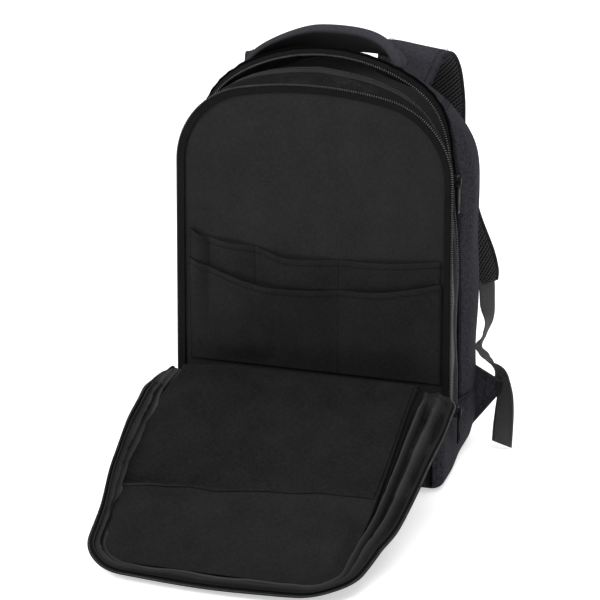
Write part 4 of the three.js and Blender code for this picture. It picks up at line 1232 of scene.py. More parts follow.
def outward_of(points, stations):
    """Normals of a grid round an arch, turned to its outside."""
    normals = grid_normals(points)
    out = np.stack([stations.nx, 0 * stations.nx, stations.nz], 1)[:, None]
    return normals * np.sign((normals * out).sum(-1, keepdims=True) + 1e-9)


def front_gusset_grid():
    """Narrow wall between the zips, slightly rounded and rippled."""
    stations = Stations(FRONT_ARCH, GUSSET_GRID[0])
    y = np.linspace(-1.0, FRONT_GUSSET_DEPTH, GUSSET_GRID[1])
    points = stations.place(y[None, :], front_gusset_edge(stations, np.maximum(y, GAP)))
    normals = outward_of(points, stations)
    share = np.linspace(0, 1, GUSSET_GRID[1])[None, :]
    belly = np.sin(math.pi * share) * 1.1
    ripple = waves(stations.along[:, None], y[None, :] * 0.5, 42, 11) * 0.55 * np.sin(math.pi * share)
    return raised(points, normals, (belly + ripple)[..., None]), normals, stations


def base_plan(inset):
    """Plan of the base at a distance inside its outline, starting in the middle of the back."""
    corners = [
        (1, 1, BASE["rear_corner"], 0), (-1, 1, BASE["rear_corner"], 90),
        (-1, -1, BASE["front_corner"], 180), (1, -1, BASE["front_corner"], 270),
    ]
    points = []
    for sx, sy, radius, start in corners:
        depth = BACK_DEPTH if sy > 0 else POUCH_DEPTH
        centre = np.array([sx * (BASE["half"] - radius), sy * (depth - radius)])
        angle = np.radians(start + np.linspace(0, 90, 13))
        reach = max(radius - inset, 0.0)
        over = max(inset - radius, 0.0) * np.array([sx, sy])
        points.append(centre - over + reach * np.stack([np.cos(angle), np.sin(angle)], 1))
    back = (points[0][-1] + points[1][0]) / 2
    front = (points[2][-1] + points[3][0]) / 2
    edge = min(FRONT_WIDTH["half"][0] + GAP, points[3][0][0])
    lip = [np.linspace([-edge, points[2][-1][1]], [0, front[1]], 24), np.linspace([0, front[1]], [edge, front[1]], 24)]
    runs = [
        np.linspace(back, points[1][0], 22)[:-1], points[1], np.linspace(points[1][-1], points[2][0], 26)[1:-1],
        points[2], lip[0], lip[1][1:], points[3], np.linspace(points[3][-1], points[0][0], 26)[1:-1],
        points[0], np.linspace(points[0][-1], back, 22)[1:-1],
    ]
    return np.vstack(runs)


def base_grid():
    """Rings down the base's wall and in under it, drawn in sideways where the cloth is slack."""
    insets = np.r_[BASE_SECTION["inset"], BASE_FLOOR]
    heights = np.r_[BASE_SECTION["z"], np.zeros(len(BASE_FLOOR))]
    plans = [base_plan(inset) for inset in insets]
    rows = [np.column_stack([plan, np.full(len(plan), z)]) for plan, z in zip(plans, heights)]
    points = np.array(rows).transpose(1, 0, 2)
    behind = smooth(points[..., 1], -10, 50)
    slack = read(BASE_SLACK, "z", "behind", points[..., 2]) * behind
    slack = slack + read(BASE_SLACK, "z", "ahead", points[..., 2]) * smooth(points[..., 1], 52, 30)
    wall = (np.arange(points.shape[1]) < len(BASE_SECTION["z"]))[None, :]
    points[..., 0] -= np.sign(points[..., 0]) * np.where(wall, slack, 0) * smooth(np.abs(points[..., 0]), 90, 140)
    return points * MM


def cover_grid():
    """Outer front panel, gently wavy between its edges."""
    rows = panel_rows(0, PROFILE_LENGTH, COVER_GRID[0])
    share = np.linspace(-1, 1, COVER_GRID[1])[None, :]
    x, along = share * cover_half(rows)[:, None], rows[:, None]
    held = smooth(1 - np.abs(share), 0, 0.1)
    lift = -PANEL_HALF - np.clip(waves(x, along, 85, 21) * 0.6 + 0.4, 0, 1.3) * held
    return on_panel(x, along, lift)


def lining_grid():
    """Lining of the cover, loose beyond the slip pocket."""
    rows = panel_rows(LINER["from"], PROFILE_LENGTH - LINER["short"], LINING_GRID[0])
    share = np.linspace(-1, 1, LINING_GRID[1])[None, :]
    x, along = share * (cover_half(rows)[:, None] - LINER["inset"]), rows[:, None]
    base = PANEL_HALF + GAP + sizes().lining / MM
    free = smooth(along, COVER_POCKET["to"] - 4, COVER_POCKET["to"] + 16) * smooth(PROFILE_LENGTH - along, 6, 22)
    free = free * smooth(1 - np.abs(share), 0, 0.12)
    lift = base + free * (2.0 + waves(x, along * 0.35, 75, 31) * 1.5 + waves(x * 0.5, along, 30, 33) * 0.5)
    return on_panel(x, along, lift)


def cover_pocket_grid():
    """Slip pocket in the cover: folds over most of it, and a slanting hem that lies flat."""
    low, high = COVER_POCKET["from"], COVER_POCKET["to"]
    rows = np.linspace(low, high, COVER_POCKET_GRID[0])
    share = np.linspace(-1, 1, COVER_POCKET_GRID[1])[None, :]
    x, along = share * (cover_half(rows)[:, None] - COVER_POCKET["inset"]), rows[:, None]
    part = (along - low) / (high - low)
    press = smooth(along, high - 30, high - 4)
    base = PANEL_HALF + GAP + sizes().lining / MM + (GAP + sizes().pocket_cloth / MM) * (1 - 0.6 * press)
    gape = COVER_POCKET["gape"] * (1 - share ** 4) * part ** 2
    held = smooth(1 - np.abs(share), 0, 0.1) * smooth(part, 0, 0.12)
    folds = held * (0.8 + waves(x, along * 0.4, 85, 41) * 0.8 + waves(x * 0.6, along, 34, 43) * 0.3)
    folds = folds * (1 - 0.8 * part ** 8)
    hem = 0.15 * smooth(along, high - HEM_WIDTH - 1, high - HEM_WIDTH)
    scallop = (read(COVER_HEM, "share", "drop", share) + waves(x, 0 * x, 48, 47) * 1.6) * part ** 2
    return on_panel(x, along - scallop, base + gape + folds + hem)


def bellows_grid(wall):
    """Wall round the cover with its lengthwise folds and slanting creases, and how far each point is raised."""
    part = BELLOWS_PART
    columns = [read(BELLOWS, "share", name, wall.share) for name in ("groove", "roll", "valley", "band", "dip")]
    offsets = np.array([np.zeros(len(wall.share)), *columns, np.full(len(wall.share), BELLOWS_EDGE)]).T
    rise = np.array([read({"part": BELLOWS_KNOTS, "rise": row}, "part", "rise", part) for row in offsets])
    held = np.sin(math.pi * np.clip(part, 0, 1))[None, :]
    u, v = np.broadcast_arrays(wall.along[:, None], part[None, :] * wall.size[:, None])
    rise = rise + held * (waves(u, v * 0.6, 60, 51) * 0.8 + waves(u, v * 1.5, 26, 53) * 0.4)
    for slope, pitch, seed in ((0.7, 52, 57), (-0.45, 41, 59)):
        crease = np.clip(1 - np.abs(waves(u + slope * v, v * 0.3, pitch, seed)) * 5, 0, 1)
        rise = rise - held * crease * 1.3 * smooth(np.abs(wall.share - 0.5), 0.04, 0.16)[:, None]
    return wall.place(part[None, :] * (wall.cloth + COVER_LAP / wall.size)[:, None], rise), rise


def bellows_painted_light(wall, rise):
    """Painted light and shade of the wall: painted highlights on the raised folds and on the left, the far end's own
    roll, and painted shade in a groove on the right.
    """
    bright = 0.25 + 0.5 * smooth(wall.share, 0.36, 0.28) + 0.6 * smooth(wall.share, 0.14, 0.05)
    tone = np.clip(rise / 6.5 - 0.85, -1.2, 0.8) + bright[:, None]
    front = (smooth(wall.share, 0.38, 0.44) * smooth(wall.share, 0.68, 0.6))[:, None]
    tone = tone * (1 - front) + front * read(FRONT_ROLL, "part", "tone", BELLOWS_PART)[None, :]
    right = smooth(wall.share, 0.66, 0.72) * smooth(wall.share, 0.96, 0.92)
    return tone - 1.3 * right[:, None] * smooth(BELLOWS_PART, 0.22, 0.1)[None, :]


def organizer_grid():
    """Organizer panel, loose above its pockets."""
    arch = shrunk(FRONT_ARCH, ORGANIZER["inset"])
    arch["low"] = ORGANIZER["foot"] + ORGANIZER["corner"]
    x, z = arch_face(arch, ORGANIZER["foot"], ORGANIZER["corner"], *ORGANIZER_GRID)
    free = smooth(z, 236, 258) * smooth(arch_height(arch, x / arch["half"]) - z, 0, 22)
    free = free * smooth(arch["half"] - np.abs(x), 0, 14)
    lift = free * (waves(x, z * 0.4, 90, 61) * 0.7 + waves(x, z, 40, 63) * 0.2)
    return np.stack([x, -lift, z], -1) * MM


def pocket_gape(lines, gape, x, share):
    """How far a row of pockets stands off between its stitch lines, more towards the hem."""
    lines = np.asarray(lines, float)
    right = np.clip(np.searchsorted(lines, x), 1, len(lines) - 1)
    across = np.clip((x - lines[right - 1]) / (lines[right] - lines[right - 1]), 0, 1)
    return gape * np.sin(math.pi * across) * np.clip(share, 0, 1) ** 1.5


def upper_depth(x, z):
    """How far the upper row of pockets stands off the panel."""
    hem = read(UPPER_HEM, "x", "z", x)
    share = np.clip((z - UPPER_FOOT) / (hem - UPPER_FOOT), 0, 1)
    return GAP + pocket_gape(UPPER_LINES, UPPER_GAPE, x, share)


def pocket_rows(lines, foot, hem_table):
    """Across, the hem's height, shares of the way up to it and the heights there, over a row of pockets."""
    x = np.linspace(lines[0], lines[-1], POCKET_GRID[1])[None, :]
    hem = read(hem_table, "x", "z", x)
    share = np.linspace(0, 1, POCKET_GRID[0])[:, None]
    return x, hem, share, foot + (hem - foot) * share


def hemmed(x, depth, z, hem):
    """Points of a row of pockets, raised along the hem."""
    depth = depth + 0.4 * smooth(z, hem - HEM_WIDTH, hem - HEM_WIDTH + 1)
    return np.stack(np.broadcast_arrays(x, -depth, z), -1) * MM


def upper_pocket_grid():
    """Upper row of pockets, folded where the lower row leaves it in view."""
    x, hem, _, z = pocket_rows(UPPER_LINES, UPPER_FOOT, UPPER_HEM)
    lower_hem = read(LOWER_HEM, "x", "z", x)
    shown = smooth(z, lower_hem - 2, lower_hem + 14)
    gape = pocket_gape(UPPER_LINES, 1.0, x, np.ones_like(x))
    folds = shown * gape * (0.5 + waves(x, z * 0.6, 46, 71) * 0.8)
    return hemmed(x, upper_depth(x, z) + sizes().pocket_cloth / MM + np.maximum(folds, 0), z, hem)


def lower_pocket_grid():
    """Lower row of pockets, lying over the upper one."""
    x, hem, share, z = pocket_rows(LOWER_LINES, LOWER_FOOT, LOWER_HEM)
    gape = pocket_gape(LOWER_LINES, 1.0, x, np.ones_like(x))
    folds = gape * smooth(share, 0, 0.2) * (0.8 + waves(x, z * 0.5, 70, 81) * 1.2 + waves(x, z, 33, 83) * 0.3)
    depth = upper_depth(x, z) + 2 * (sizes().pocket_cloth / MM) + GAP
    depth = depth + pocket_gape(LOWER_LINES, LOWER_GAPE, x, share)
    return hemmed(x, depth + np.maximum(folds, 0), z, hem)


def back_pad_grid():
    """Across and up over the back pad."""
    arch = shrunk(REAR_ARCH, PAD["inset"])
    arch["top"] -= PAD["lower"]
    return arch_face(arch, SEAM_HEIGHT + GAP, PAD["corner"], *PAD_GRID)


# Zip halves: where each tape starts and which way it runs, in the plane across its path


def body_zip_lines():
    stations = Stations({**FRONT_ARCH, "low": SEAM_HEIGHT + BODY_ZIP["above"]}, ZIP_STATIONS)
    start = -ZIP_WIDTH - BODY_ZIP["inside"]

    def at(out):
        return stations.place(BODY_ZIP["y"], start + out)[:, 0]

    return at, np.array([0.0, -1.0, 0.0])


def ridged(points, out):
    """Points of the main zip with the ridge that its closed part forms on the right."""
    ridge = read(ZIP_RIDGE, "z", "out", points[:, 2] / MM) * smooth(out, -1, 5) * (points[:, 0] > 0)
    return points + np.stack([ridge * MM, 0 * ridge, 0 * ridge], 1)


def main_front_lines():
    stations = Stations(FRONT_ARCH, ZIP_STATIONS)
    ways = np.array([FRONT_GUSSET_DEPTH * 0.5, FRONT_GUSSET_DEPTH])
    edge = front_gusset_edge(stations, ways)
    slope = (edge[:, 1] - edge[:, 0]) / (FRONT_GUSSET_DEPTH * 0.5)
    dy = 1 / np.hypot(1, slope)
    dn = slope * dy
    y = FRONT_GUSSET_DEPTH + dy * GAP + dn
    n = edge[:, 1] + dn * GAP - dy

    def at(out):
        return ridged(stations.place((y + dy * out)[:, None], (n + dn * out)[:, None])[:, 0], out)

    return at, np.stack([stations.nx, 0 * stations.nx, stations.nz], 1)


def main_rear_lines():
    stations = Stations(REAR_ARCH, ZIP_STATIONS)
    edge_y, edge_out = rear_edge(stations)
    hang = unit(np.stack([-1 + 0.2 * stations.open, -0.75 * stations.open], 1))
    y = edge_y - GAP - 0.6 * stations.open
    n = edge_out - 1.0

    def at(out):
        return ridged(stations.place((y + hang[:, 0] * out)[:, None], (n + hang[:, 1] * out)[:, None])[:, 0], out)

    return at, np.stack([-stations.nx * hang[:, 0], hang[:, 1], -stations.nz * hang[:, 0]], 1)


def cover_zip_lines():
    wall = CoverWall(ZIP_STATIONS)
    start = wall.cloth + COVER_ZIP_GAP / wall.size
    turn = np.radians(12 + 16 * smooth(wall.share, 0.28, 0.4) * smooth(wall.share, 1, 0.95))

    def at(out):
        reach = start + out * np.cos(turn) / wall.size
        return wall.place(reach[:, None], (-1.0 - max(out, 0.0) * np.sin(turn))[:, None])[:, 0]

    inner = wall.normal * (wall.out / wall.size)[:, None] - wall.outward * (wall.up / wall.size)[:, None]
    return at, inner


# Each zip half's node and lines, how far its tape reaches under the cloth and past its usual edge, how far its teeth
# are shifted, the finish of its tape, and the runs of its teeth by finish
# The main zip's front tape and the lit teeth are lighter copies that paint highlights
ZIPS = {
    "cover_zip": {
        "node": "flap_zip", "lines": cover_zip_lines, "under": 6.0, "wider": 1.2, "shift": -1.4, "tape": "tape",
        "runs": {"teeth": [(0, 0.4), (0.62, 0.8)], "lit_teeth": [(0.4, 0.62), (0.8, 1)]},
    },
    "body_zip_half": {
        "node": "body_zip", "lines": body_zip_lines, "under": -0.5, "wider": 1.2, "shift": 1.2, "tape": "tape",
        "runs": {"teeth": [(0, 1)]},
    },
    "main_zip_front_half": {
        "node": "main_zip_front", "lines": main_front_lines, "under": 1.0, "wider": 0.0, "shift": 0.0,
        "tape": "lit_side_tape", "runs": {"teeth": [(0, 1)]},
    },
    "main_zip_rear_half": {
        "node": "main_zip_rear", "lines": main_rear_lines, "under": 1.5, "wider": 0.0, "shift": 0.0, "tape": "tape",
        "runs": {"lit_teeth": [(0, 1)]},
    },
}


# Operators


class PieceOperator:
    """Builds its pieces; an error on the way stops the script"""

    bl_options = {"REGISTER", "UNDO"}

    def execute(self, context):
        self.build()
        return {"FINISHED"}


class BAG_OT_side_wall(PieceOperator, bpy.types.Operator):
    """Outer side and top wall of the main compartment, with its seams"""

    bl_idname = "bag.side_wall"
    bl_label = "Side wall"

    def build(self):
        points, normals, stations = side_wall_grid()
        reach = np.linalg.norm(points - points[:, :1], axis=2) / MM
        # Painted shade darkens the wall within 11 mm of its front edge, where it turns in at the opening; elsewhere it
        # is painted a little lighter
        tone = 0.3 - 1.5 * smooth(reach, 11, 0)
        mesh = grid_mesh("side_wall", points, flip=True, tone=tone)
        # Its inside face takes the inner finish, a lighter lining painted with the light inside the compartment
        piece = new_object("side_wall", mesh, finish("navy"), finish("inner"))
        thicken(piece, sizes().outer_cloth, inside=True)
        belongs(piece, "navy_cloth", "rear_gusset")
        declare_sheet(points)
        paths = [(raised(points[:, k], normals[:, k], 0.2), normals[:, k]) for k in SIDE_STITCH_ROWS]
        across = int(SHOULDER_SEAM["share"] * len(points))
        for row in (across - 1, across + 1):
            paths.append((raised(points[row, 1:27], normals[row, 1:27], 0.2), normals[row, 1:27]))
        add_stitches("side_wall_stitches", paths, "navy_cloth")
        for side_name, row in (("left", len(points) - 1 - across), ("right", across)):
            seam = raised(points[row, 1:28], normals[row, 1:28], 0.1)
            cord = add_tube(f"shoulder_seam_{side_name}", seam, SHOULDER_SEAM["radius"] * MM, finish("thread"), 6)
            belongs(cord, "navy_cloth")
        inset = BACK_BINDING["inset"] + BACK_BINDING["opened"] * stations.open
        back = stations.place(BACK_BINDING["y"], -inset[:, None])[:, 0]
        front = raised(points[:, 0], normals[:, 0], -0.4)
        # The piping along the opening is painted near-black as the shadow in the gap beside it
        belongs(add_tube("mouth_piping", front, sizes().piping, finish("binding")), "zip_tape")
        belongs(add_tube("back_binding", back, sizes().piping, finish("tape")), "zip_tape")


class BAG_OT_front_gusset(PieceOperator, bpy.types.Operator):
    """Narrow grey wall between the front zip and the main zip"""

    bl_idname = "bag.front_gusset"
    bl_label = "Front gusset"

    def build(self):
        points, normals, stations = front_gusset_grid()
        # Painted light and shade: the gusset is painted darker over the crown and lit down the sides, with a painted
        # highlight along its edge by the front zip
        lit = smooth(stations.share, 0.42, 0.66)[:, None]
        tone = -1.05 + lit * (0.75 + 1.1 * smooth(np.arange(GUSSET_GRID[1]), 6, 3)[None, :])
        mesh = grid_mesh("zip_gusset", points, flip=True, tone=tone)
        # Its inside face takes the inner finish, a lighter lining painted with the light inside the compartment
        piece = new_object("zip_gusset", mesh, finish("twill"), finish("inner"))
        thicken(piece, sizes().gusset_cloth, inside=True)
        belongs(piece, "gusset_twill", "front_gusset")
        declare_sheet(points)
        paths = [(raised(points[:, k], normals[:, k], 0.15), normals[:, k]) for k in GUSSET_STITCH_ROWS]
        add_stitches("zip_gusset_stitches", paths, "gusset_twill")


class BAG_OT_base(PieceOperator, bpy.types.Operator):
    """Base and lower walls, cut in one, with the seam round their top"""

    bl_idname = "bag.base"
    bl_label = "Base"

    def build(self):
        points = base_grid()
        seam = points[:, 0]
        edge = (FRONT_WIDTH["half"][0] + GAP) * MM + 1e-6
        mesh = grid_mesh("base", np.concatenate([points, points[:1]], 0))
        front = (np.abs(seam[:, 0]) <= edge) & (seam[:, 1] < 0)
        piece = new_object("base", mesh, finish("navy"), finish("lining"))
        open_front(piece, np.r_[front, front[:1]], BASE_LIP_RING)
        merge_doubles(piece)
        thicken(piece, sizes().outer_cloth, inside=True)
        belongs(piece, "navy_cloth", "boot")
        ring = seam[~front]
        start = int(np.argmax(np.linalg.norm(np.diff(ring, axis=0), axis=1))) + 1
        ring = np.roll(ring, -start, axis=0)
        facing = unit(np.column_stack([ring[:, :2] - [0, BASE_MIDDLE * MM], np.zeros(len(ring))]))
        low = ring - [0, 0, BASE_STITCH_DROP * MM]
        add_stitches("base_stitches", [(low + facing * 0.0002, facing)], "navy_cloth")
        belongs(add_tube("base_piping", ring + [0, 0, 0.0002], sizes().piping * 0.75, finish("navy")), "navy_cloth")


class BAG_OT_cover(PieceOperator, bpy.types.Operator):
    """Outer front panel, up the pouch, over the fold and along the opened cover"""

    bl_idname = "bag.cover"
    bl_label = "Cover"

    def build(self):
        points = cover_grid()
        piece = new_object("cover_panel", grid_mesh("cover_panel", points), finish("navy"), finish("lining"))
        thicken(piece, 2 * PANEL_HALF * MM, inside=True)
        belongs(piece, "navy_cloth", "front_panel")
        declare_sheet(points)
        rows = np.linspace(*POUCH_PIPING, 60)
        for side_name, side in SIDES.items():
            edge = on_panel(side * (cover_half(rows) + 0.5), rows, -PANEL_HALF + 0.4)
            name = f"pouch_piping_{side_name}"
            belongs(add_tube(name, edge, sizes().piping * 0.8, finish("tape")), "zip_tape")


class BAG_OT_cover_lining(PieceOperator, bpy.types.Operator):
    """Lining and slip pocket inside the opened cover"""

    bl_idname = "bag.cover_lining"
    bl_label = "Cover lining"

    def build(self):
        points = lining_grid()
        # Painted shade makes the whole lining of the cover darker
        piece = new_object("cover_lining", grid_mesh("cover_lining", points, flip=True, tone=-0.3), finish("lining"))
        thicken(piece, sizes().lining)
        belongs(piece, "lining_cloth", "flap_liner")
        declare_sheet(points)
        points = cover_pocket_grid()
        # Painted light and shade of the slip pocket: a painted highlight on its hem and painted shade just above it,
        # both towards the left, and the whole pocket painted darker
        left = np.linspace(1, 0, points.shape[1])[None, :] ** 5
        hem = np.linspace(-(COVER_POCKET["to"] - COVER_POCKET["from"]), 0, len(points))[:, None]
        shade = left * (0.9 * smooth(hem, -3, -1.5) - 0.35 * smooth(hem, -22, -6) * smooth(hem, -2, -4))
        mesh = grid_mesh("cover_pocket", points, flip=True, tone=shade - 0.5)
        piece = new_object("cover_pocket", mesh, finish("lining"))
        thicken(piece, sizes().pocket_cloth * 0.45)
        belongs(piece, "lining_cloth", "flap_pocket")
        declare_sheet(points)


class BAG_OT_bellows(PieceOperator, bpy.types.Operator):
    """Folded wall round the opened cover"""

    bl_idname = "bag.bellows"
    bl_label = "Cover wall"

    def build(self):
        wall = CoverWall(COVER_WALL_STATIONS)
        points, rise = bellows_grid(wall)
        # The wall carries its painted light and shade
        mesh = grid_mesh("cover_wall", points, tone=bellows_painted_light(wall, rise))
        piece = new_object("cover_wall", mesh, finish("satin"))
        thicken(piece, sizes().gusset_cloth * 0.8)
        belongs(piece, "lining_cloth", "flap_gusset")
        declare_sheet(points)


class BAG_OT_organizer(PieceOperator, bpy.types.Operator):
    """Organizer panel with its two rows of pockets and their stitching"""

    bl_idname = "bag.organizer"
    bl_label = "Organizer"

    def build(self):
        size = sizes()
        front = np.array([0.0, -1.0, 0.0])
        points = organizer_grid()
        piece = new_object("organizer_sheet", grid_mesh("organizer_sheet", points), finish("lining"))
        thicken(piece, ORGANIZER["depth"] * MM)
        belongs(piece, "lining_cloth", "organizer_panel")
        declare_sheet(points)
        rows = (("upper_pockets", upper_pocket_grid, UPPER_LINES, "upper_pocket"),
                ("lower_pockets", lower_pocket_grid, LOWER_LINES, "lower_pocket"))
        for name, grid, lines, node in rows:
            points = grid()
            # Painted shade makes the pockets darker than the panel
            piece = new_object(name, grid_mesh(name, points, tone=-0.26), finish("lining"))
            thicken(piece, size.pocket_cloth)
            belongs(piece, "lining_cloth", node)
            declare_sheet(points)
            paths = []
            for line in lines:
                at = int(np.argmin(np.abs(points[0, :, 0] - line * MM)))
                at = min(max(at, 1), points.shape[1] - 2)
                paths.append((points[:, at] + front * 0.0002, front))
            hem = points[-1] - [0, 0, HEM_WIDTH * MM]
            hem[:, 1] = [np.interp(hem[k, 2], points[:, k, 2], points[:, k, 1]) for k in range(len(hem))]
            paths.append((hem + front * 0.0003, front))
            add_stitches(f"{name}_stitches", paths, "lining_cloth")


class BAG_OT_zips(PieceOperator, bpy.types.Operator):
    """Four zip halves: woven tapes with a row of teeth along their edges"""

    bl_idname = "bag.zips"
    bl_label = "Zips"

    def build(self):
        size = sizes()
        tooth = [ZIP_TOOTH[way] * MM for way in ("along", "across", "high")]
        for name, half in ZIPS.items():
            at, facing = half["lines"]()
            columns = np.linspace(-half["under"], ZIP_TAPE + half["wider"], 7)
            points = np.stack([at(out) for out in columns], 1)
            piece = new_object(name, grid_mesh(name, points), finish(half["tape"]))
            thicken(piece, size.tape_cloth, offset=0.0)
            belongs(piece, "zip_tape", half["node"])
            row = ZIP_TEETH + half["shift"]
            belongs(add_tube(f"{name}_cord", at(row - 0.2), ZIP_CORD * MM, finish("tape"), 8), "zip_tape")
            line = at(row)
            facing = np.broadcast_to(facing, line.shape)
            for kind, spans in half["runs"].items():
                ends = [(int(first * len(line)), int(last * len(line)) + 1) for first, last in spans]
                paths = [(line[first:last], facing[first:last]) for first, last in ends]
                teeth = add_beads(f"{name}_{kind}", paths, size.tooth_pitch, *tooth, finish(kind))
                belongs(teeth, "zip_tape")


class BAG_OT_back_pad(PieceOperator, bpy.types.Operator):
    """Padded back panel, quilted in three channels"""

    bl_idname = "bag.back_pad"
    bl_label = "Back pad"

    def build(self):
        x, z = back_pad_grid()
        rows, cols = PAD_GRID
        rim = eased_ends(rows, PAD["rim"])[:, None] * eased_ends(cols, PAD["rim"])[None, :]
        from_seam = np.abs(np.abs(x) - PAD["seam"])
        channel = np.minimum(from_seam, PAD["slope"]) / PAD["slope"]
        outer = PAD["outer"] + PAD["swell"] * np.sqrt(rim) + PAD["ridge"] * np.sqrt(channel) * rim
        inner = PAD["inner"] - PAD["dish"] * np.sqrt(rim)
        front = np.stack([x, inner, z], -1)
        back = np.stack([x, outer, z], -1)[:, ::-1]
        points = np.concatenate([back, front], 1) * MM
        firm = np.ones(points.shape[:2])
        firm[:, :cols] = np.where((from_seam < PAD["sewn"]) | (rim < 0.3), 1.0, 0.0)[:, ::-1]
        slots = np.repeat([0, 1], cols)[None, :]
        # Painted light makes the pad's inner face lighter, and that face takes the inner finish, a lighter lining
        mesh = closed_bag("back_pad", points, slots, slots * 1.4)
        piece = new_object("back_pad", mesh, finish("mesh"), finish("inner"))
        puff(piece, firm.ravel(), sizes().pad_pressure, sizes().pad_travel)
        soften(piece)
        belongs(piece, "mesh_pad", "back_panel")


class BAG_OT_handle(PieceOperator, bpy.types.Operator):
    """Padded grab handle that leans back over the top"""

    bl_idname = "bag.handle"
    bl_label = "Handle"

    def build(self):
        middle, across, out = handle_frames(HANDLE_RINGS)
        width, thick = handle_width(HANDLE_RINGS), handle_thick(HANDLE_RINGS)
        points = padded_strip(middle, across, out, width, thick, HANDLE_FACE, HANDLE["edge"])
        # Painted light makes the whole handle lighter, as if lit from above
        piece = padded_piece("carry_handle", points, HANDLE_FACE, sewn_rings=4, tone=1.1, inner="lining", travel=1.5)
        belongs(piece, "navy_cloth", "grab_handle")
        inset = (width / 2 - 3)[:, None]
        lines = [(middle + across * inset * side + out * thick[:, None] * 0.46) * MM for side in (-1, 1)]
        add_stitches("handle_stitches", [(line, out) for line in lines], "navy_cloth")


class BAG_OT_straps(PieceOperator, bpy.types.Operator):
    """Two padded shoulder straps, cloth outside and spacer mesh inside, with bound edges"""

    bl_idname = "bag.straps"
    bl_label = "Shoulder straps"

    def build(self):
        for side_name in SIDES:
            middle, across, out, width = strap_frames(side_name, STRAP_RINGS)
            points = padded_strip(middle, across, out, width, STRAP_THICK, STRAP_FACE, STRAP_EDGE)
            name = f"padded_strap_{side_name}"
            # Painted light makes the straps lighter, as if lit from above
            piece = padded_piece(name, points, STRAP_FACE, sewn_rings=3, tone=0.75, inner="mesh", travel=2.0)
            belongs(piece, "navy_cloth", f"shoulder_strap_{side_name}")
            for edge, sign in (("inner", -1), ("outer", 1)):
                line = (middle + across * (sign * (width / 2 - 0.6))[:, None])[2:-1] * MM
                binding = add_tube(f"strap_binding_{edge}_{side_name}", line, STRAP_BINDING * MM, finish("navy"))
                belongs(binding, "navy_cloth")
            rows = [(middle + across * (sign * (width / 2 - 6))[:, None] + out * STRAP_THICK * 0.42)[3:-2] * MM
                    for sign in (-1, 1)]
            add_stitches(f"strap_stitches_{side_name}", [(row, out[3:-2]) for row in rows], "navy_cloth")


class BAG_OT_webbing(PieceOperator, bpy.types.Operator):
    """Adjuster webbing from each strap to its tab, with a hemmed free tail"""

    bl_idname = "bag.webbing"
    bl_label = "Webbing"

    def build(self):
        for side_name in SIDES:
            line, along, across, out, layers = webbing_frames(side_name, WEBBING_RINGS)
            u = np.linspace(-1, 1, WEBBING_FACE)
            thick = WEBBING_THICK * layers / 2
            round_edge = np.sqrt(np.clip(1 - np.abs(u) ** 10, 0, 1)) * 0.85 + 0.15
            face = line[:, None] + across[:, None] * (u * WEBBING_WIDTH / 2)[None, :, None]
            foot = smooth(np.linspace(0, 1, len(line)), 0.84, 1)[:, None] * u[None, :] * -WEBBING_SLANT
            face = face + along[:, None] * foot[..., None]
            swell = out[:, None] * (thick[:, None] * round_edge[None, :])[..., None]
            points = np.concatenate([face + swell, (face - swell)[:, ::-1]], 1) * MM
            name = f"webbing_{side_name}"
            piece = new_object(name, closed_bag(name, points), finish("webbing"))
            belongs(piece, "webbing", f"strap_webbing_{side_name}")
            path = line * MM
            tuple(path[0])
            tail = int(WEBBING_TAIL * len(line))
            rows = []
            for sign in (-1, 1):
                offset = out * (thick + 0.1)[:, None] * sign
                rows += [((line + across * edge + offset)[tail:-4] * MM, out[tail:-4] * sign)
                         for edge in (-WEBBING_SEAM, WEBBING_SEAM)]
                cross = across[tail] * np.linspace(-WEBBING_SEAM, WEBBING_SEAM, 12)[:, None]
                cross = line[tail] + offset[tail] + cross
                rows.append((cross * MM, np.tile(out[tail] * sign, (12, 1))))
            add_stitches(f"webbing_stitches_{side_name}", rows, "webbing")


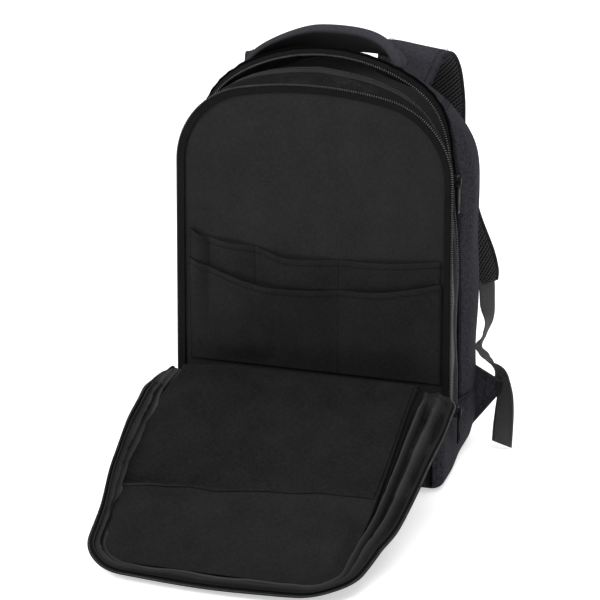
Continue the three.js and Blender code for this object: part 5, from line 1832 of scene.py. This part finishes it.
class BAG_OT_tabs(PieceOperator, bpy.types.Operator):
    """Triangular tabs in the lower side seams, stitched round their edges"""

    bl_idname = "bag.tabs"
    bl_label = "Tabs"

    def build(self):
        for side_name, side in SIDES.items():
            turn = math.radians((0 if side > 0 else 180) + side * TAB_TURN[side_name])
            way = np.array([math.cos(turn), math.sin(turn), 0.0])
            flat = np.array([-math.sin(turn), math.cos(turn), 0.0])
            origin = np.array([side * TAB["x"], TAB["y"], 0.0])

            def at(reach, height, lift):
                reach, height, lift = np.broadcast_arrays(reach, height, lift)
                return (origin + way * reach[..., None] + flat * lift[..., None]
                        + np.array([0, 0, 1.0]) * height[..., None]) * MM

            part, level = np.linspace(-0.2, 1, 17)[:, None], np.linspace(0, 1, 31)[None, :]
            low = TAB["bottom"] + (TAB["low"] - TAB["bottom"]) * part
            high = TAB["top"] + (TAB["high"] - TAB["top"]) * part
            height = low + (high - low) * level
            puffed = np.clip(16 * part * (1 - part) * level * (1 - level), 0, 1)
            half = TAB["thick"] / 2 * (0.7 + 0.3 * puffed)
            front, back = at(TAB["reach"] * part, height, half), at(TAB["reach"] * part, height, -half)
            points = np.concatenate([front, back[:, ::-1]], 1)
            name = f"side_tab_{side_name}"
            # Painted light lifts the tab out of the shadow that the bag casts on it
            piece = new_object(name, closed_bag(name, points, tone=0.85), finish("navy"))
            belongs(piece, "navy_cloth", f"strap_tab_{side_name}")
            paths = []
            inset, seam = np.linspace(0.05, 0.88, 20), np.linspace(0.06, 0.94, 14)
            for sign in (-1, 1):
                lift = sign * (TAB["thick"] / 2 + 0.15)
                for shift in TAB_STITCH_INSETS:
                    bottom = TAB["bottom"] + (TAB["low"] - TAB["bottom"]) * inset + shift * 1.7
                    top = TAB["top"] + (TAB["high"] - TAB["top"]) * inset - shift * 1.15
                    keep = top - bottom > 3
                    for edge in (bottom, top):
                        paths.append((at(TAB["reach"] * inset[keep], edge[keep], lift), flat * sign))
                foot, head = TAB["bottom"] * 0.55 + TAB["low"] * 0.45, TAB["top"] * 0.62 + TAB["high"] * 0.38
                reach = TAB["reach"] * (0.38 - 0.12 * (1 - seam))
                paths.append((at(reach, foot + (head - foot) * seam, lift), flat * sign))
            add_stitches(f"tab_stitches_{side_name}", paths, "navy_cloth")


class BAG_OT_hardware(PieceOperator, bpy.types.Operator):
    """Zip sliders, zip pulls and ladder locks: eased edges and their finishes"""

    bl_idname = "bag.hardware"
    bl_label = "Hardware"

    def build(self):
        for names, material, width in ((HARD_NODES, "metal", 0.45), (LOCK_NODES, "plastic", 0.8)):
            for name in names:
                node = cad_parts[name]
                node.data.materials.clear()
                node.data.materials.append(finish("dull_metal" if name.startswith("front_pull") else material))
                edge = node.modifiers.new("eased_edges", "BEVEL")
                edge.width = width * MM
                edge.segments = 2
                edge.limit_method = "ANGLE"


class BAG_OT_studio(PieceOperator, bpy.types.Operator):
    """Pale floor, soft lights, white surround and the camera"""

    bl_idname = "bag.studio"
    bl_label = "Studio"

    def build(self):
        scene = bpy.context.scene
        rig = studio()
        reach = np.linspace(-9, 9, 7)
        grid = np.stack([*np.meshgrid(reach, reach, indexing="ij"), np.full((7, 7), -0.0002)], -1)
        floor = new_object("floor", grid_mesh("floor", grid, flip=True), finish("floor"))
        world = bpy.data.worlds.new("white_surround")
        world.use_nodes = True
        sky = world.node_tree.nodes["Background"]
        sky.inputs["Color"].default_value = (1, 1, 1, 1)
        sky.inputs["Strength"].default_value = rig.sky
        scene.world = world
        aim = Vector(rig.target)
        lights = (("key_light", rig.key, (-1.5, -1.7, 1.9), 1.4), ("top_light", rig.top, (0.5, 0.2, 2.3), 1.6))
        for name, power, place, width in lights:
            data = bpy.data.lights.new(name, "AREA")
            data.energy = power
            data.size = width
            light = bpy.data.objects.new(name, data)
            light.location = place
            light.rotation_euler = (aim - light.location).to_track_quat("-Z", "Y").to_euler()
            scene.collection.objects.link(light)
        data = bpy.data.cameras.new("camera")
        data.lens = rig.lens
        data.sensor_width = 36.0
        data.clip_end = 60.0
        data.dof.use_dof = False
        camera = bpy.data.objects.new("camera", data)
        level = math.cos(rig.elevation)
        way = Vector((math.sin(rig.azimuth) * level, -math.cos(rig.azimuth) * level, math.sin(rig.elevation)))
        camera.location = aim + way * rig.distance
        camera.rotation_euler = way.to_track_quat("Z", "Y").to_euler()
        scene.collection.objects.link(camera)
        scene.camera = camera
        scene.view_settings.view_transform = "Standard"
        scene.view_settings.look = "None"


PIECES = (
    BAG_OT_side_wall, BAG_OT_front_gusset, BAG_OT_base, BAG_OT_cover, BAG_OT_cover_lining, BAG_OT_bellows,
    BAG_OT_organizer, BAG_OT_zips, BAG_OT_back_pad, BAG_OT_handle, BAG_OT_straps, BAG_OT_webbing, BAG_OT_tabs,
    BAG_OT_hardware, BAG_OT_studio,
)


class BAG_PT_pieces(bpy.types.Panel):
    """Lists the backpack's pieces and their sizes"""

    bl_idname = "BAG_PT_pieces"
    bl_label = "Backpack"
    bl_space_type = "VIEW_3D"
    bl_region_type = "UI"
    bl_category = "Backpack"

    def draw(self, context):
        for group in (sizes(), colours(), studio()):
            box = self.layout.box()
            for name in group.bl_rna.properties.keys():
                if name not in ("rna_type", "name"):
                    box.prop(group, name)
        for piece in PIECES:
            self.layout.operator(piece.bl_idname)


GROUPS = {
    "backpack_sizes": BackpackSizes,
    "backpack_colours": BackpackColours,
    "backpack_studio": StudioSettings,
}


def register():
    for name, group in GROUPS.items():
        bpy.utils.register_class(group)
        setattr(bpy.types.Scene, name, bpy.props.PointerProperty(type=group))
    for piece in (*PIECES, BAG_PT_pieces):
        bpy.utils.register_class(piece)


def unregister():
    for piece in reversed((*PIECES, BAG_PT_pieces)):
        bpy.utils.unregister_class(piece)
    for name, group in reversed(GROUPS.items()):
        delattr(bpy.types.Scene, name)
        bpy.utils.unregister_class(group)


def main():
    register()
    for piece in PIECES:
        getattr(bpy.ops.bag, piece.bl_idname.split(".")[1])()


if __name__ == "__main__":
    main()
